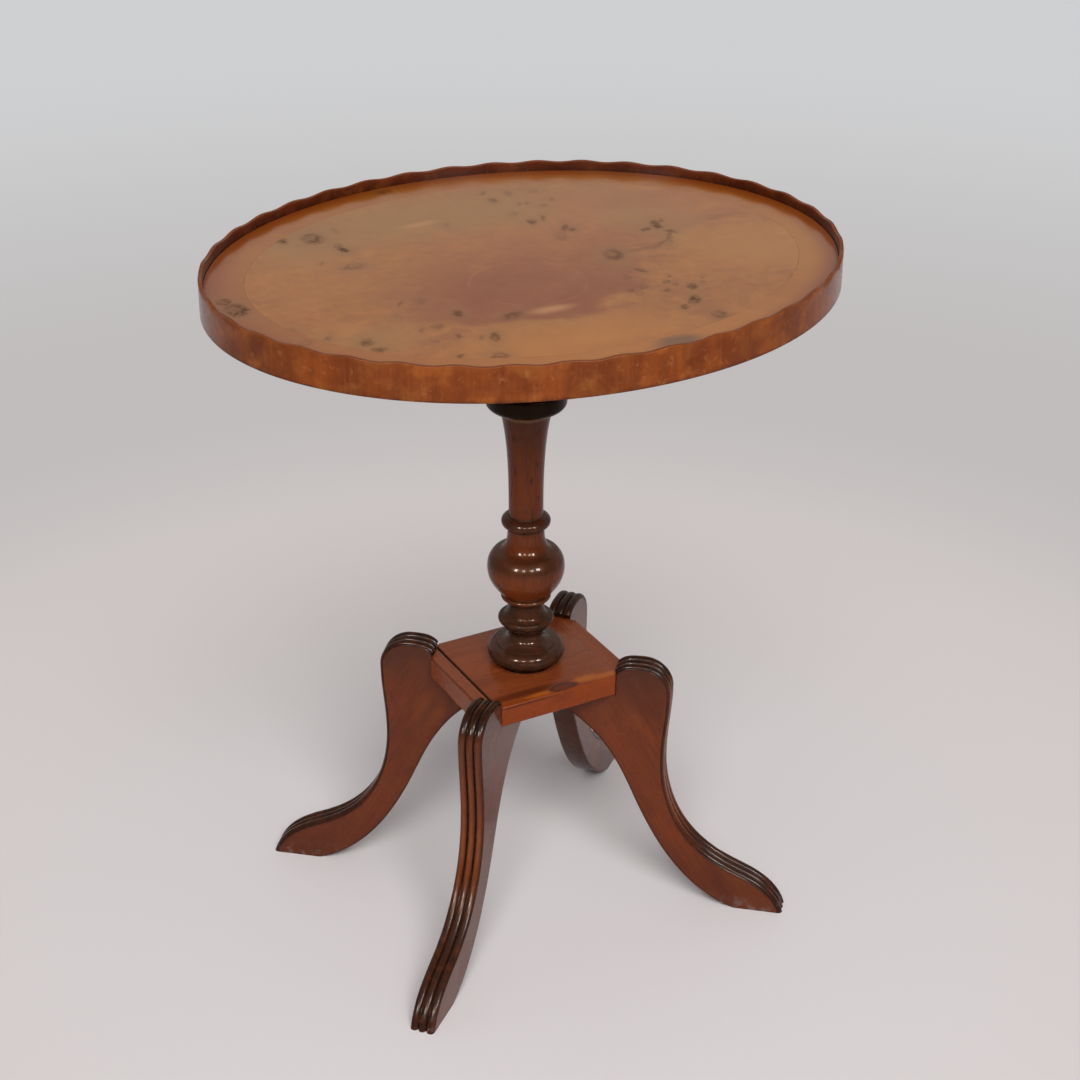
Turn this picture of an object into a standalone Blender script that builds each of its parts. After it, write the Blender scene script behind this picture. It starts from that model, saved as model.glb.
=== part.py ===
"""Oval wine table: a veneered top with a scalloped gallery, a turned pillar, a small platform and reeded legs.

Metres, +Z up. The origin is on the floor below the pillar's axis, and +X runs along the length of the oval.
"""

import math

import bmesh
import bpy
import numpy as np
from mathutils import Vector

# Clearances
FIT = 0.0003  # between pieces that touch, glued or screwed
WELD = 1e-6  # points closer than this are one

# Oval top
TOP_LENGTH = 0.458
TOP_WIDTH = 0.384
BOARD_THICKNESS = 0.0155
VENEER = 0.0007
CROSSBAND_WIDTH = 0.027

# Gallery round the top
GALLERY_THICKNESS = 0.0020
GALLERY_RISE = 0.0069  # from the top's face to the middle of the scallops
SCALLOPS = 38
SCALLOP_DEPTH = 0.0018  # from crest to hollow

# Round block under the top
BLOCK_RADIUS = 0.055
BLOCK_THICKNESS = 0.018
BLOCK_ROUNDING = 0.006
UPPER_TENON_RADIUS = 0.0115
UPPER_TENON_CLEARANCE = 0.001  # below the board, so that the shoulder seats first

# Platform
PLATFORM_LENGTH = 0.1262
PLATFORM_WIDTH = 0.1062
PLATFORM_THICKNESS = 0.0163
PLATFORM_UNDERSIDE = 0.1827  # above the floor
PLATFORM_ARRIS = 0.0006
CLEAT_WIDTH = 0.0128
CORNER_CUT = 0.0120  # depth of the chamfer across each corner
LOWER_TENON_RADIUS = 0.0125
WEDGE_DEPTH = 0.0115
WEDGE_THICK_END = 0.0026
WEDGE_THIN_END = 0.0010

# Legs: places across run outwards from the seat on the platform's chamfer
LEG_THICKNESS = 0.0187
LEG_SPREAD = 0.2023  # from the pillar's axis to the toe
SOLE_LENGTH = 0.0360
HEAD_WIDTH = 0.0399
HEAD_RISE = 0.0068  # above the platform
HEAD_DROP = 0.0125  # from the platform's top down to the widest part of the head
WAIST_INSET = 0.0035
WAIST_DROP = 0.0547  # below the platform
INSTEP_RUN = 0.0393  # from the toe back to the instep
INSTEP_HEIGHT = 0.0332
CALF_DEPTH = 0.0220  # from the waist in to the back edge
CALF_DROP = 0.0867  # below the platform
TONGUE_END = 0.0247  # from the pillar's axis out to the tongue's end
TONGUE_END_DEPTH = 0.0127
REEDS = 3
REED_HEIGHT = 0.0022

# Directions of the leg's edges, outwards and up
HEAD_WAY = (0.45, 1)
INSTEP_WAY = (1, -0.44)
TOE_WAY = (0.35, -1)
HEEL_WAY = (-1, 0.34)
CALF_WAY = (-0.42, 1)
TONGUE_WAY = (-1, 0.52)

# Fixings
DOWEL_RADIUS = 0.003
DOWEL_LENGTH = 0.030
SCREW_HEAD_RADIUS = 0.0038
SCREW_SHANK_RADIUS = 0.0019
SCREW_POINT = 0.004
BLOCK_SCREWS = 4
BLOCK_SCREW_INSET = 0.014  # from the block's edge
BLOCK_SCREW_BITE = 0.0085  # how far its point goes into the board
BLOCK_SCREW_SINK = 0.0008
LEG_SCREW_INSET = 0.023  # from the seat in to the screw
LEG_SCREW_LENGTH = 0.028
LEG_SCREW_COVER = 0.0058  # wood left in the platform above its point
COUNTERBORE_CLEARANCE = 0.001

# Pillar: heights of its mouldings from the platform up, and their radii
CUSHION_HEIGHT = 0.0150
CUSHION_BELLY = 0.0068  # height of the widest part
CUSHION_RADIUS = 0.0288
CUSHION_FOOT_RADIUS = 0.0205
CUSHION_TOP_RADIUS = 0.0245
QUIRK_HEIGHT = 0.0012
QUIRK_RADIUS = 0.0222
BASE_COVE_HEIGHT = 0.0083
BASE_NECK_RADIUS = 0.0128
BASE_NECK_HEIGHT = 0.0018
CONE_HEIGHT = 0.0086
CONE_STEPS = 3
STEP_WIDTH = 0.0007
RING_HEIGHT = 0.0048
RING_RADIUS = 0.0208
RING_EDGE_RADIUS = 0.0192
SCOTIA_LOWER_HEIGHT = 0.0086
SCOTIA_UPPER_HEIGHT = 0.0071
SCOTIA_RADIUS = 0.0137
BULB_FILLET_HEIGHT = 0.0028
BULB_FOOT_RADIUS = 0.0178
BULB_FOOT_WAY = (0.75, 0.9)  # outwards and up
BULB_LOWER_HEIGHT = 0.0225
BULB_UPPER_HEIGHT = 0.0128
BULB_RADIUS = 0.0287
BULB_SHOULDER_RADIUS = 0.0237
BULB_SHOULDER_WAY = (-0.8, 0.75)
SHOULDER_STEP = 0.0008
SHOULDER_RADIUS = 0.0208
SHOULDER_COVE_HEIGHT = 0.0150
BEAD_NECK_HEIGHT = 0.0044
BEAD_NECK_RADIUS = 0.0136
BEAD_RADIUS = 0.0046
STEM_HEIGHT = 0.0822
STEM_FOOT_RADIUS = 0.0127
STEM_TOP_RADIUS = 0.0188
STEM_TOP_WAY = (0.25, 1)
COLLAR_FILLET_HEIGHT = 0.0014
COLLAR_FILLET_RADIUS = 0.0195
COLLAR_OVOLO_HEIGHT = 0.0080
COLLAR_RADIUS = 0.0295
COLLAR_BAND_HEIGHT = 0.0070
COLLAR_CAP_HEIGHT = 0.0060
COLLAR_CAP_RADIUS = 0.0200
UPPER_NECK_HEIGHT = 0.0549
UPPER_NECK_RADIUS = 0.0160
UPPER_NECK_TOP_RADIUS = 0.0225
UPPER_NECK_TOP_WAY = (0.30, 1)

# Facets, and the angle in degrees above which an edge stays sharp
TURNED_SIDES = 24
SMALL_SIDES = 10
SIDES_PER_SCALLOP = 6
OVAL_SIDES = 60
OVAL_SAMPLES = 4000
SIDES_PER_REED = 4
SHARP_EDGE = 40

# Directions in an outline, and how far a curve holds the direction it sets out in
UP = (0, 1)
DOWN = (0, -1)
OUTWARD = (1, 0)
CURVE_PULL = 0.38
HEEL_PULL = 0.34
STEM_PULL = 0.30

# Worked out from the sizes above
PLATFORM_TOP = PLATFORM_UNDERSIDE + PLATFORM_THICKNESS
PLATFORM_HALF = Vector((PLATFORM_LENGTH / 2, PLATFORM_WIDTH / 2))
LEG_ANGLE = math.atan2(PLATFORM_HALF.y, PLATFORM_HALF.x)
LEG_TURNS = {
    "back": LEG_ANGLE,
    "left": math.pi - LEG_ANGLE,
    "front": math.pi + LEG_ANGLE,
    "right": -LEG_ANGLE,
}
CHAMFER_DISTANCE = PLATFORM_HALF.length - CORNER_CUT
SEAT = CHAMFER_DISTANCE + FIT
CLEAT_JOINT = PLATFORM_HALF.x - CLEAT_WIDTH
GALLERY_INSET = VENEER + FIT + GALLERY_THICKNESS


# Scene and materials
for old in list(bpy.data.objects):
    bpy.data.objects.remove(old, do_unlink=True)

table = bpy.data.objects.new("wine_table", None)
bpy.context.scene.collection.objects.link(table)


def finish(name, colour, roughness, metallic=0.0):
    """A plain material with the piece's colour."""
    material = bpy.data.materials.new(name)
    material.use_nodes = True
    shader = material.node_tree.nodes["Principled BSDF"]
    shader.inputs["Base Color"].default_value = (*colour, 1.0)
    shader.inputs["Roughness"].default_value = roughness
    shader.inputs["Metallic"].default_value = metallic
    return material


YEW_FIELD = finish("pippy_yew", (0.33, 0.15, 0.07), 0.30)
YEW_BAND = finish("yew_crossband", (0.31, 0.13, 0.07), 0.30)
YEW_RIM = finish("yew_rim_facing", (0.23, 0.07, 0.02), 0.30)
GALLERY_WOOD = finish("gallery_strip", (0.16, 0.05, 0.018), 0.35)
BACKING_WOOD = finish("backing_veneer", (0.24, 0.12, 0.06), 0.55)
BOARD_CORE = finish("board_core", (0.42, 0.30, 0.17), 0.70)
MAHOGANY = finish("polished_mahogany", (0.08, 0.018, 0.009), 0.25)
PLATFORM_WOOD = finish("platform_mahogany", (0.17, 0.05, 0.025), 0.30)
BLOCK_WOOD = finish("block_beech", (0.30, 0.16, 0.08), 0.60)
DOWEL_WOOD = finish("dowel_beech", (0.55, 0.36, 0.20), 0.65)
SCREW_STEEL = finish("screw_steel", (0.45, 0.43, 0.40), 0.40, 1.0)


def add(name, bm, material, turn=0.0, smooth=False):
    """Turns a bmesh into a named object of the table, turned about the pillar's axis."""
    bmesh.ops.remove_doubles(bm, verts=bm.verts, dist=WELD)
    bmesh.ops.recalc_face_normals(bm, faces=bm.faces)
    mesh = bpy.data.meshes.new(name)
    bm.to_mesh(mesh)
    bm.free()
    mesh.materials.append(material)
    if smooth:
        mesh.shade_smooth()
        mesh.set_sharp_from_angle(angle=math.radians(SHARP_EDGE))
    piece = bpy.data.objects.new(name, mesh)
    bpy.context.scene.collection.objects.link(piece)
    piece.parent = table
    piece.rotation_euler.z = turn
    return piece


def as_cutter(piece):
    """Marks an object as a cutter, which is not a piece of the table."""
    piece.hide_render = True
    piece.display_type = "WIRE"
    return piece


def cut(target, *cutters):
    for cutter in cutters:
        hole = target.modifiers.new(cutter.name, "BOOLEAN")
        hole.operation = "DIFFERENCE"
        hole.solver = "EXACT"
        hole.object = cutter


# Curves that the outlines are made of, as lists of two-number points
def curve(start, start_way, end, end_way, steps, pull=CURVE_PULL):
    """A smooth curve between two points that leaves and arrives in the given directions."""
    start, end = Vector(start), Vector(end)
    reach = (end - start).length * pull
    first = start + Vector(start_way).normalized() * reach
    last = end - Vector(end_way).normalized() * reach
    points = []
    for step in range(steps + 1):
        t = step / steps
        weights = ((1 - t) ** 3, 3 * t * (1 - t) ** 2, 3 * t * t * (1 - t), t ** 3)
        points.append(sum((p * w for p, w in zip((start, first, last, end), weights)), Vector((0, 0))))
    return points


def quarter(start, end, steps, rises_first):
    """A quarter of an oval from start to end, setting out upwards or outwards."""
    start, end = Vector(start), Vector(end)
    span = end - start
    points = []
    for step in range(steps + 1):
        angle = step / steps * math.pi / 2
        slow, fast = 1 - math.cos(angle), math.sin(angle)
        shares = (slow, fast) if rises_first else (fast, slow)
        points.append(start + Vector((span.x * shares[0], span.y * shares[1])))
    return points


def turned(name, profile, material, sides, closed=False, turn=0.0):
    """Spins a profile of radius and height about the upright axis."""
    bm = bmesh.new()
    verts = [bm.verts.new((point[0], 0, point[1])) for point in profile]
    ends = verts[1:] + verts[:1] if closed else verts[1:]
    edges = [bm.edges.new(pair) for pair in zip(verts, ends)]
    bmesh.ops.spin(bm, geom=verts + edges, axis=(0, 0, 1), cent=(0, 0, 0), angle=2 * math.pi,
                   steps=sides, use_merge=True)
    return add(name, bm, material, turn, smooth=True)


def prism(name, outline, low, high, material, turn=0.0):
    """An upright prism on an outline of points in the plan."""
    bm = bmesh.new()
    base = bm.faces.new([bm.verts.new((x, y, low)) for x, y in outline])
    raised = bmesh.ops.extrude_face_region(bm, geom=[base])
    lifted = [item for item in raised["geom"] if isinstance(item, bmesh.types.BMVert)]
    bmesh.ops.translate(bm, verts=lifted, vec=(0, 0, high - low))
    return add(name, bm, material, turn)


# Turned pillar
def pillar_profile():
    """Radius and height of the pillar's outside, from the platform up to the upper shoulder."""
    z = PLATFORM_TOP + FIT
    points = []

    def rise(height):
        nonlocal z
        low, z = z, z + height
        return low, z

    # Cushion base, bellied, with a quirk above it
    low, high = rise(CUSHION_HEIGHT)
    belly = low + CUSHION_BELLY
    points += quarter((CUSHION_FOOT_RADIUS, low), (CUSHION_RADIUS, belly), 3, False)
    points += quarter((CUSHION_RADIUS, belly), (CUSHION_TOP_RADIUS, high), 3, True)[1:]
    low, high = rise(QUIRK_HEIGHT)
    points += [(QUIRK_RADIUS, low), (QUIRK_RADIUS, high)]

    # Cove up to the neck, then a cone in three steps that carries the ring
    low, high = rise(BASE_COVE_HEIGHT)
    points += quarter((QUIRK_RADIUS - STEP_WIDTH, low), (BASE_NECK_RADIUS, high), 4, False)
    rise(BASE_NECK_HEIGHT)
    flights = RING_EDGE_RADIUS - BASE_NECK_RADIUS - (CONE_STEPS - 1) * STEP_WIDTH
    spread = flights / CONE_STEPS
    radius = BASE_NECK_RADIUS
    for _ in range(CONE_STEPS):
        low, high = rise(CONE_HEIGHT / CONE_STEPS)
        points += [(radius, low), (radius + spread, high)]
        radius += spread + STEP_WIDTH

    # Ring, scotia and the fillet below the bulb
    low, high = rise(RING_HEIGHT)
    middle = (low + high) / 2
    points += quarter((RING_EDGE_RADIUS, low), (RING_RADIUS, middle), 2, False)[1:]
    points += quarter((RING_RADIUS, middle), (RING_EDGE_RADIUS, high), 2, True)[1:]
    low, high = rise(SCOTIA_LOWER_HEIGHT)
    points += quarter((RING_EDGE_RADIUS - STEP_WIDTH, low), (SCOTIA_RADIUS, high), 3, False)
    low, high = rise(SCOTIA_UPPER_HEIGHT)
    points += quarter((SCOTIA_RADIUS, low), (BULB_FOOT_RADIUS - STEP_WIDTH, high), 3, True)[1:]
    low, high = rise(BULB_FILLET_HEIGHT)
    points += [(BULB_FOOT_RADIUS, low), (BULB_FOOT_RADIUS, high)]

    # Bulb
    low, high = rise(BULB_LOWER_HEIGHT)
    points += curve((BULB_FOOT_RADIUS, low), BULB_FOOT_WAY, (BULB_RADIUS, high), UP, 6)[1:]
    low, high = rise(BULB_UPPER_HEIGHT)
    points += curve((BULB_RADIUS, low), UP, (BULB_SHOULDER_RADIUS, high), BULB_SHOULDER_WAY, 4)[1:]
    low, high = rise(SHOULDER_STEP)
    points.append((SHOULDER_RADIUS, high))

    # Cove up to the neck, bead and trumpet stem
    low, high = rise(SHOULDER_COVE_HEIGHT)
    points += quarter((SHOULDER_RADIUS, low), (BEAD_NECK_RADIUS, high), 4, False)[1:]
    low, high = rise(BEAD_NECK_HEIGHT)
    points.append((BEAD_NECK_RADIUS, high))
    low, high = rise(2 * BEAD_RADIUS)
    middle = (low + high) / 2
    points += quarter((BEAD_NECK_RADIUS, low), (BEAD_NECK_RADIUS + BEAD_RADIUS, middle), 3, False)[1:]
    points += quarter((BEAD_NECK_RADIUS + BEAD_RADIUS, middle), (STEM_FOOT_RADIUS, high), 3, True)[1:]
    low, high = rise(STEM_HEIGHT)
    points += curve((STEM_FOOT_RADIUS, low), UP, (STEM_TOP_RADIUS, high), STEM_TOP_WAY, 6, STEM_PULL)[1:]

    # Collar, and the plain neck above it that flares out to the block
    low, high = rise(COLLAR_FILLET_HEIGHT)
    points += [(COLLAR_FILLET_RADIUS, low), (COLLAR_FILLET_RADIUS, high)]
    low, high = rise(COLLAR_OVOLO_HEIGHT)
    points += quarter((COLLAR_FILLET_RADIUS + STEP_WIDTH, low), (COLLAR_RADIUS, high), 3, False)
    low, high = rise(COLLAR_BAND_HEIGHT)
    points.append((COLLAR_RADIUS, high))
    low, high = rise(COLLAR_CAP_HEIGHT)
    points += quarter((COLLAR_RADIUS, low), (COLLAR_CAP_RADIUS, high), 3, True)[1:]
    low, high = rise(UPPER_NECK_HEIGHT)
    points += curve((UPPER_NECK_RADIUS, low), UP, (UPPER_NECK_TOP_RADIUS, high), UPPER_NECK_TOP_WAY, 5)
    return points


PILLAR_PROFILE = pillar_profile()
BLOCK_UNDERSIDE = PILLAR_PROFILE[-1][1] + FIT
TOP_UNDERSIDE = BLOCK_UNDERSIDE + BLOCK_THICKNESS + FIT
TOP_FACE = TOP_UNDERSIDE + BOARD_THICKNESS + 2 * (VENEER + FIT)


def make_pillar():
    tenon_top = TOP_UNDERSIDE - UPPER_TENON_CLEARANCE
    foot = PILLAR_PROFILE[0][1]
    shoulder = PILLAR_PROFILE[-1][1]
    profile = [(0, PLATFORM_UNDERSIDE), (LOWER_TENON_RADIUS, PLATFORM_UNDERSIDE), (LOWER_TENON_RADIUS, foot)]
    profile += PILLAR_PROFILE
    profile += [(UPPER_TENON_RADIUS, shoulder), (UPPER_TENON_RADIUS, tenon_top), (0, tenon_top)]
    return turned("pillar", profile, MAHOGANY, TURNED_SIDES)


def make_wedge(name, half_length, clearance=0.0):
    """The wedge in the pillar's lower tenon, or with a clearance the saw cut that takes it."""
    low = PLATFORM_UNDERSIDE - clearance
    high = PLATFORM_UNDERSIDE + WEDGE_DEPTH + clearance
    bm = bmesh.new()
    rings = []
    for height, thickness in ((low, WEDGE_THICK_END), (high, WEDGE_THIN_END)):
        half = thickness / 2 + clearance
        corners = ((-half, -half_length), (half, -half_length), (half, half_length), (-half, half_length))
        rings.append([bm.verts.new((x, y, height)) for x, y in corners])
    bm.faces.new(rings[0])
    bm.faces.new(rings[1])
    for side in range(len(corners)):
        after = (side + 1) % len(corners)
        bm.faces.new((rings[0][side], rings[0][after], rings[1][after], rings[1][side]))
    return add(name, bm, DOWEL_WOOD)


# Screws and dowels
def screw_profile(length, clearance=0.0):
    """A countersunk wood screw that points up, with its head's face at height 0."""
    head = SCREW_HEAD_RADIUS + clearance
    shank = SCREW_SHANK_RADIUS + clearance
    neck = SCREW_HEAD_RADIUS - SCREW_SHANK_RADIUS
    return [(0, -clearance), (head, -clearance), (shank, neck), (shank, length - SCREW_POINT),
            (0, length + clearance)]


def make_screw(name, length, place, clearance=0.0, turn=0.0):
    """A screw at a place, turned with its leg about the pillar's axis."""
    screw = turned(name, screw_profile(length, clearance), SCREW_STEEL, SMALL_SIDES, turn=turn)
    across, height = place
    screw.location = (across * math.cos(turn), across * math.sin(turn), height)
    return screw


def make_bar(name, radius, start, end, material, turn=0.0):
    """A round bar between two distances from the pillar's axis, at the middle of the platform."""
    height = PLATFORM_UNDERSIDE + PLATFORM_THICKNESS / 2
    bm = bmesh.new()
    rings = []
    for across in (start, end):
        ring = []
        for side in range(SMALL_SIDES):
            angle = 2 * math.pi * side / SMALL_SIDES
            ring.append(bm.verts.new((across, radius * math.cos(angle), height + radius * math.sin(angle))))
        rings.append(ring)
        bm.faces.new(ring)
    for side in range(SMALL_SIDES):
        after = (side + 1) % SMALL_SIDES
        bm.faces.new((rings[0][side], rings[0][after], rings[1][after], rings[1][side]))
    return add(name, bm, material, turn, smooth=True)


def make_shaft(name, radius, low, high, across, turn):
    """An upright round cutter at a distance from the pillar's axis."""
    shaft = turned(name, [(0, low), (radius, low), (radius, high), (0, high)], SCREW_STEEL, SMALL_SIDES)
    shaft.location = (across * math.cos(turn), across * math.sin(turn), 0)
    return as_cutter(shaft)


# Platform: a board with a cleat across each end, the corners chamfered to seat the legs
def platform_corner(x):
    """Half width of the platform at a distance along its length, inside the corner chamfers."""
    chamfered = (CHAMFER_DISTANCE - x * math.cos(LEG_ANGLE)) / math.sin(LEG_ANGLE)
    return min(PLATFORM_HALF.y, chamfered)


def platform_outline(start, end):
    """The stretch of the platform's plan between two distances along its length, anticlockwise."""
    bend = (CHAMFER_DISTANCE - PLATFORM_HALF.y * math.sin(LEG_ANGLE)) / math.cos(LEG_ANGLE)
    stops = sorted({start, end} | {x for x in (-bend, bend) if start < x < end})
    lower = [(x, -platform_corner(abs(x))) for x in stops]
    upper = [(x, platform_corner(abs(x))) for x in reversed(stops)]
    return lower + upper


def ease(piece):
    """Takes the sharp arrises off a sawn piece."""
    bevel = piece.modifiers.new("eased arrises", "BEVEL")
    bevel.width = PLATFORM_ARRIS
    bevel.segments = 1
    bevel.limit_method = "ANGLE"
    bevel.angle_limit = math.radians(SHARP_EDGE)


def make_platform():
    board = prism("platform_board", platform_outline(-CLEAT_JOINT, CLEAT_JOINT),
                  PLATFORM_UNDERSIDE, PLATFORM_TOP, PLATFORM_WOOD)
    cleats = []
    for name, start, end in (
        ("platform_cleat_left", -PLATFORM_HALF.x, -CLEAT_JOINT - FIT),
        ("platform_cleat_right", CLEAT_JOINT + FIT, PLATFORM_HALF.x),
    ):
        outline = platform_outline(start, end)
        cleats.append(prism(name, outline, PLATFORM_UNDERSIDE, PLATFORM_TOP, PLATFORM_WOOD))
    for piece in (board, *cleats):
        ease(piece)
    mortise_sides = [(0, PLATFORM_UNDERSIDE - FIT), (LOWER_TENON_RADIUS + FIT, PLATFORM_UNDERSIDE - FIT),
                     (LOWER_TENON_RADIUS + FIT, PLATFORM_TOP + FIT), (0, PLATFORM_TOP + FIT)]
    cut(board, as_cutter(turned("mortise", mortise_sides, PLATFORM_WOOD, TURNED_SIDES)))
    return board, cleats


# Legs
def leg_front_edge():
    """The reeded outer edge, from the seat over the head and down to the toe, at the bottom of the reeds."""
    bulge = SEAT + HEAD_WIDTH
    head_top = (SEAT + HEAD_WIDTH / 2, PLATFORM_TOP + HEAD_RISE)
    waist = (bulge - WAIST_INSET, PLATFORM_UNDERSIDE - WAIST_DROP)
    instep = (LEG_SPREAD - INSTEP_RUN, INSTEP_HEIGHT)
    widest = (bulge, PLATFORM_TOP - HEAD_DROP)
    points = curve((SEAT, PLATFORM_TOP), HEAD_WAY, head_top, OUTWARD, 3)
    points += curve(head_top, OUTWARD, widest, DOWN, 5)[1:]
    points += curve(widest, DOWN, waist, DOWN, 4)[1:]
    points += curve(waist, DOWN, instep, INSTEP_WAY, 7)[1:]
    points += curve(instep, INSTEP_WAY, (LEG_SPREAD, 0), TOE_WAY, 4)[1:]
    return points


def leg_back_edge():
    """The plain edge, from the heel up the calf to the tongue's end, then along the notch to the seat."""
    calf = (SEAT + HEAD_WIDTH - WAIST_INSET - CALF_DEPTH, PLATFORM_UNDERSIDE - CALF_DROP)
    tongue = (TONGUE_END, PLATFORM_UNDERSIDE - TONGUE_END_DEPTH)
    notch = PLATFORM_UNDERSIDE - FIT
    points = curve((LEG_SPREAD - SOLE_LENGTH, 0), HEEL_WAY, calf, CALF_WAY, 7, HEEL_PULL)
    points += curve(calf, CALF_WAY, tongue, TONGUE_WAY, 6)[1:]
    return points + [Vector((tongue[0], notch)), Vector((SEAT, notch))]


def reed_section():
    """Places across the leg's thickness with the height of the reeds there."""
    width = LEG_THICKNESS / REEDS
    section = [(-LEG_THICKNESS / 2, 0.0)]
    for reed in range(REEDS):
        middle = (reed - (REEDS - 1) / 2) * width
        for side in range(1, SIDES_PER_REED + 1):
            angle = math.pi * side / SIDES_PER_REED
            section.append((middle - width / 2 * math.cos(angle), REED_HEIGHT * math.sin(angle)))
    return section


def make_leg(name, turn):
    front = leg_front_edge()
    back = leg_back_edge()
    section = reed_section()
    bm = bmesh.new()
    rows = []
    for index, point in enumerate(front):
        along = front[min(index + 1, len(front) - 1)] - front[max(index - 1, 0)]
        outward = Vector((-along.y, along.x)).normalized()
        # The reeds end square on the platform's chamfer and on the floor
        if index == 0:
            outward = Vector((0, 1))
        if index == len(front) - 1:
            outward = Vector((1, 0))
        raised = [point + outward * height for _, height in section]
        rows.append([bm.verts.new((p.x, y, p.y)) for p, (y, _) in zip(raised, section)])
    sides = []
    for y in (-LEG_THICKNESS / 2, LEG_THICKNESS / 2):
        sides.append([bm.verts.new((p.x, y, p.y)) for p in back])
    for upper, lower in zip(rows, rows[1:]):
        for column in range(len(section) - 1):
            bm.faces.new((upper[column], upper[column + 1], lower[column + 1], lower[column]))
    for near, far, near_next, far_next in zip(sides[0], sides[1], sides[0][1:], sides[1][1:]):
        bm.faces.new((near, far, far_next, near_next))
    bm.faces.new([row[0] for row in rows] + sides[0])
    bm.faces.new([row[-1] for row in rows] + sides[1])
    bm.faces.new(rows[-1] + sides[1][:1] + sides[0][:1])
    bm.faces.new(rows[0] + sides[1][-1:] + sides[0][-1:])
    return add(name, bm, MAHOGANY, turn, smooth=True)


# Oval top
def oval(inset, sides):
    """Points spaced evenly along the top's outline, moved in square to it, with the distance run so far."""
    fine = np.linspace(0, 2 * math.pi, OVAL_SAMPLES + 1)
    half_length, half_width = TOP_LENGTH / 2, TOP_WIDTH / 2
    run = np.hypot(np.diff(half_length * np.cos(fine)), np.diff(half_width * np.sin(fine)))
    run = np.concatenate(([0.0], np.cumsum(run)))
    angles = np.interp(np.arange(sides) / sides * run[-1], run, fine)
    points = []
    for angle in angles:
        inward = -Vector((math.cos(angle) / half_length, math.sin(angle) / half_width)).normalized()
        points.append(Vector((half_length * math.cos(angle), half_width * math.sin(angle))) + inward * inset)
    return points


def oval_ring(name, outer, inner, low, high, material, sides):
    """An upright oval ring between two insets; its top height may change along the way."""
    tops = high if isinstance(high, list) else [high] * sides
    bm = bmesh.new()
    loops = []
    for inset, heights in ((outer, [low] * sides), (outer, tops), (inner, tops), (inner, [low] * sides)):
        loops.append([bm.verts.new((p.x, p.y, z)) for p, z in zip(oval(inset, sides), heights)])
    for first, second in zip(loops, loops[1:] + loops[:1]):
        for side in range(sides):
            after = (side + 1) % sides
            bm.faces.new((first[side], first[after], second[after], second[side]))
    return add(name, bm, material, smooth=True)


def scallop_heights(sides):
    """The gallery's upper edge: a hollow on the long axis, then crest and hollow in turn."""
    middle = TOP_FACE + GALLERY_RISE
    turns = (2 * math.pi * SCALLOPS * side / sides for side in range(sides))
    return [middle - SCALLOP_DEPTH / 2 * math.cos(turn) for turn in turns]


def make_top():
    """The board with its veneers, and the gallery round them."""
    board_low = TOP_UNDERSIDE + VENEER + FIT
    board_high = board_low + BOARD_THICKNESS
    veneer_low = TOP_FACE - VENEER
    edge = GALLERY_INSET + FIT
    joint = edge + CROSSBAND_WIDTH
    backing = prism("top_backing_veneer", oval(edge, OVAL_SIDES), TOP_UNDERSIDE, TOP_UNDERSIDE + VENEER,
                    BACKING_WOOD)
    board = prism("top_board", oval(edge, OVAL_SIDES), board_low, board_high, BOARD_CORE)
    prism("top_field_veneer", oval(joint + FIT, OVAL_SIDES), veneer_low, TOP_FACE, YEW_FIELD)
    oval_ring("top_crossband", edge, joint, veneer_low, TOP_FACE, YEW_BAND, OVAL_SIDES)
    rim_sides = SCALLOPS * SIDES_PER_SCALLOP
    heights = scallop_heights(rim_sides)
    oval_ring("gallery_strip", VENEER + FIT, GALLERY_INSET, TOP_UNDERSIDE, heights, GALLERY_WOOD, rim_sides)
    oval_ring("gallery_facing", 0.0, VENEER, TOP_UNDERSIDE, heights, YEW_RIM, rim_sides)
    return backing, board


def make_block():
    """The round block under the top, bored for the pillar's upper tenon and rounded below."""
    bore = UPPER_TENON_RADIUS + FIT
    high = BLOCK_UNDERSIDE + BLOCK_THICKNESS
    corner = (BLOCK_RADIUS, BLOCK_UNDERSIDE + BLOCK_ROUNDING)
    profile = [(bore, high), (bore, BLOCK_UNDERSIDE)]
    profile += quarter((BLOCK_RADIUS - BLOCK_ROUNDING, BLOCK_UNDERSIDE), corner, 3, False)
    profile.append((BLOCK_RADIUS, high))
    return turned("top_block", profile, BLOCK_WOOD, TURNED_SIDES, closed=True)


# The table put together, from the floor up
platform_board, platform_cleats = make_platform()
for place, turn in LEG_TURNS.items():
    leg = make_leg(f"leg_{place}", turn)
    make_bar(f"leg_dowel_{place}", DOWEL_RADIUS, SEAT - DOWEL_LENGTH / 2, SEAT + DOWEL_LENGTH / 2,
             DOWEL_WOOD, turn)
    bore = as_cutter(make_bar(f"dowel_hole_{place}", DOWEL_RADIUS + FIT, SEAT - DOWEL_LENGTH / 2 - FIT,
                              SEAT + DOWEL_LENGTH / 2 + FIT, DOWEL_WOOD, turn))
    head_height = PLATFORM_TOP - LEG_SCREW_COVER - LEG_SCREW_LENGTH
    screw_place = (SEAT - LEG_SCREW_INSET, head_height)
    make_screw(f"leg_screw_{place}", LEG_SCREW_LENGTH, screw_place, turn=turn)
    pilot = as_cutter(make_screw(f"screw_hole_{place}", LEG_SCREW_LENGTH, screw_place, FIT, turn))
    counterbore = make_shaft(f"counterbore_{place}", SCREW_HEAD_RADIUS + COUNTERBORE_CLEARANCE,
                             head_height - CALF_DROP, head_height, screw_place[0], turn)
    cut(leg, bore, pilot, counterbore)
    cut(platform_board, bore, pilot)
    for cleat in platform_cleats:
        if (cleat.name == "platform_cleat_right") == (math.cos(turn) > 0):
            cut(cleat, bore)

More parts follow.
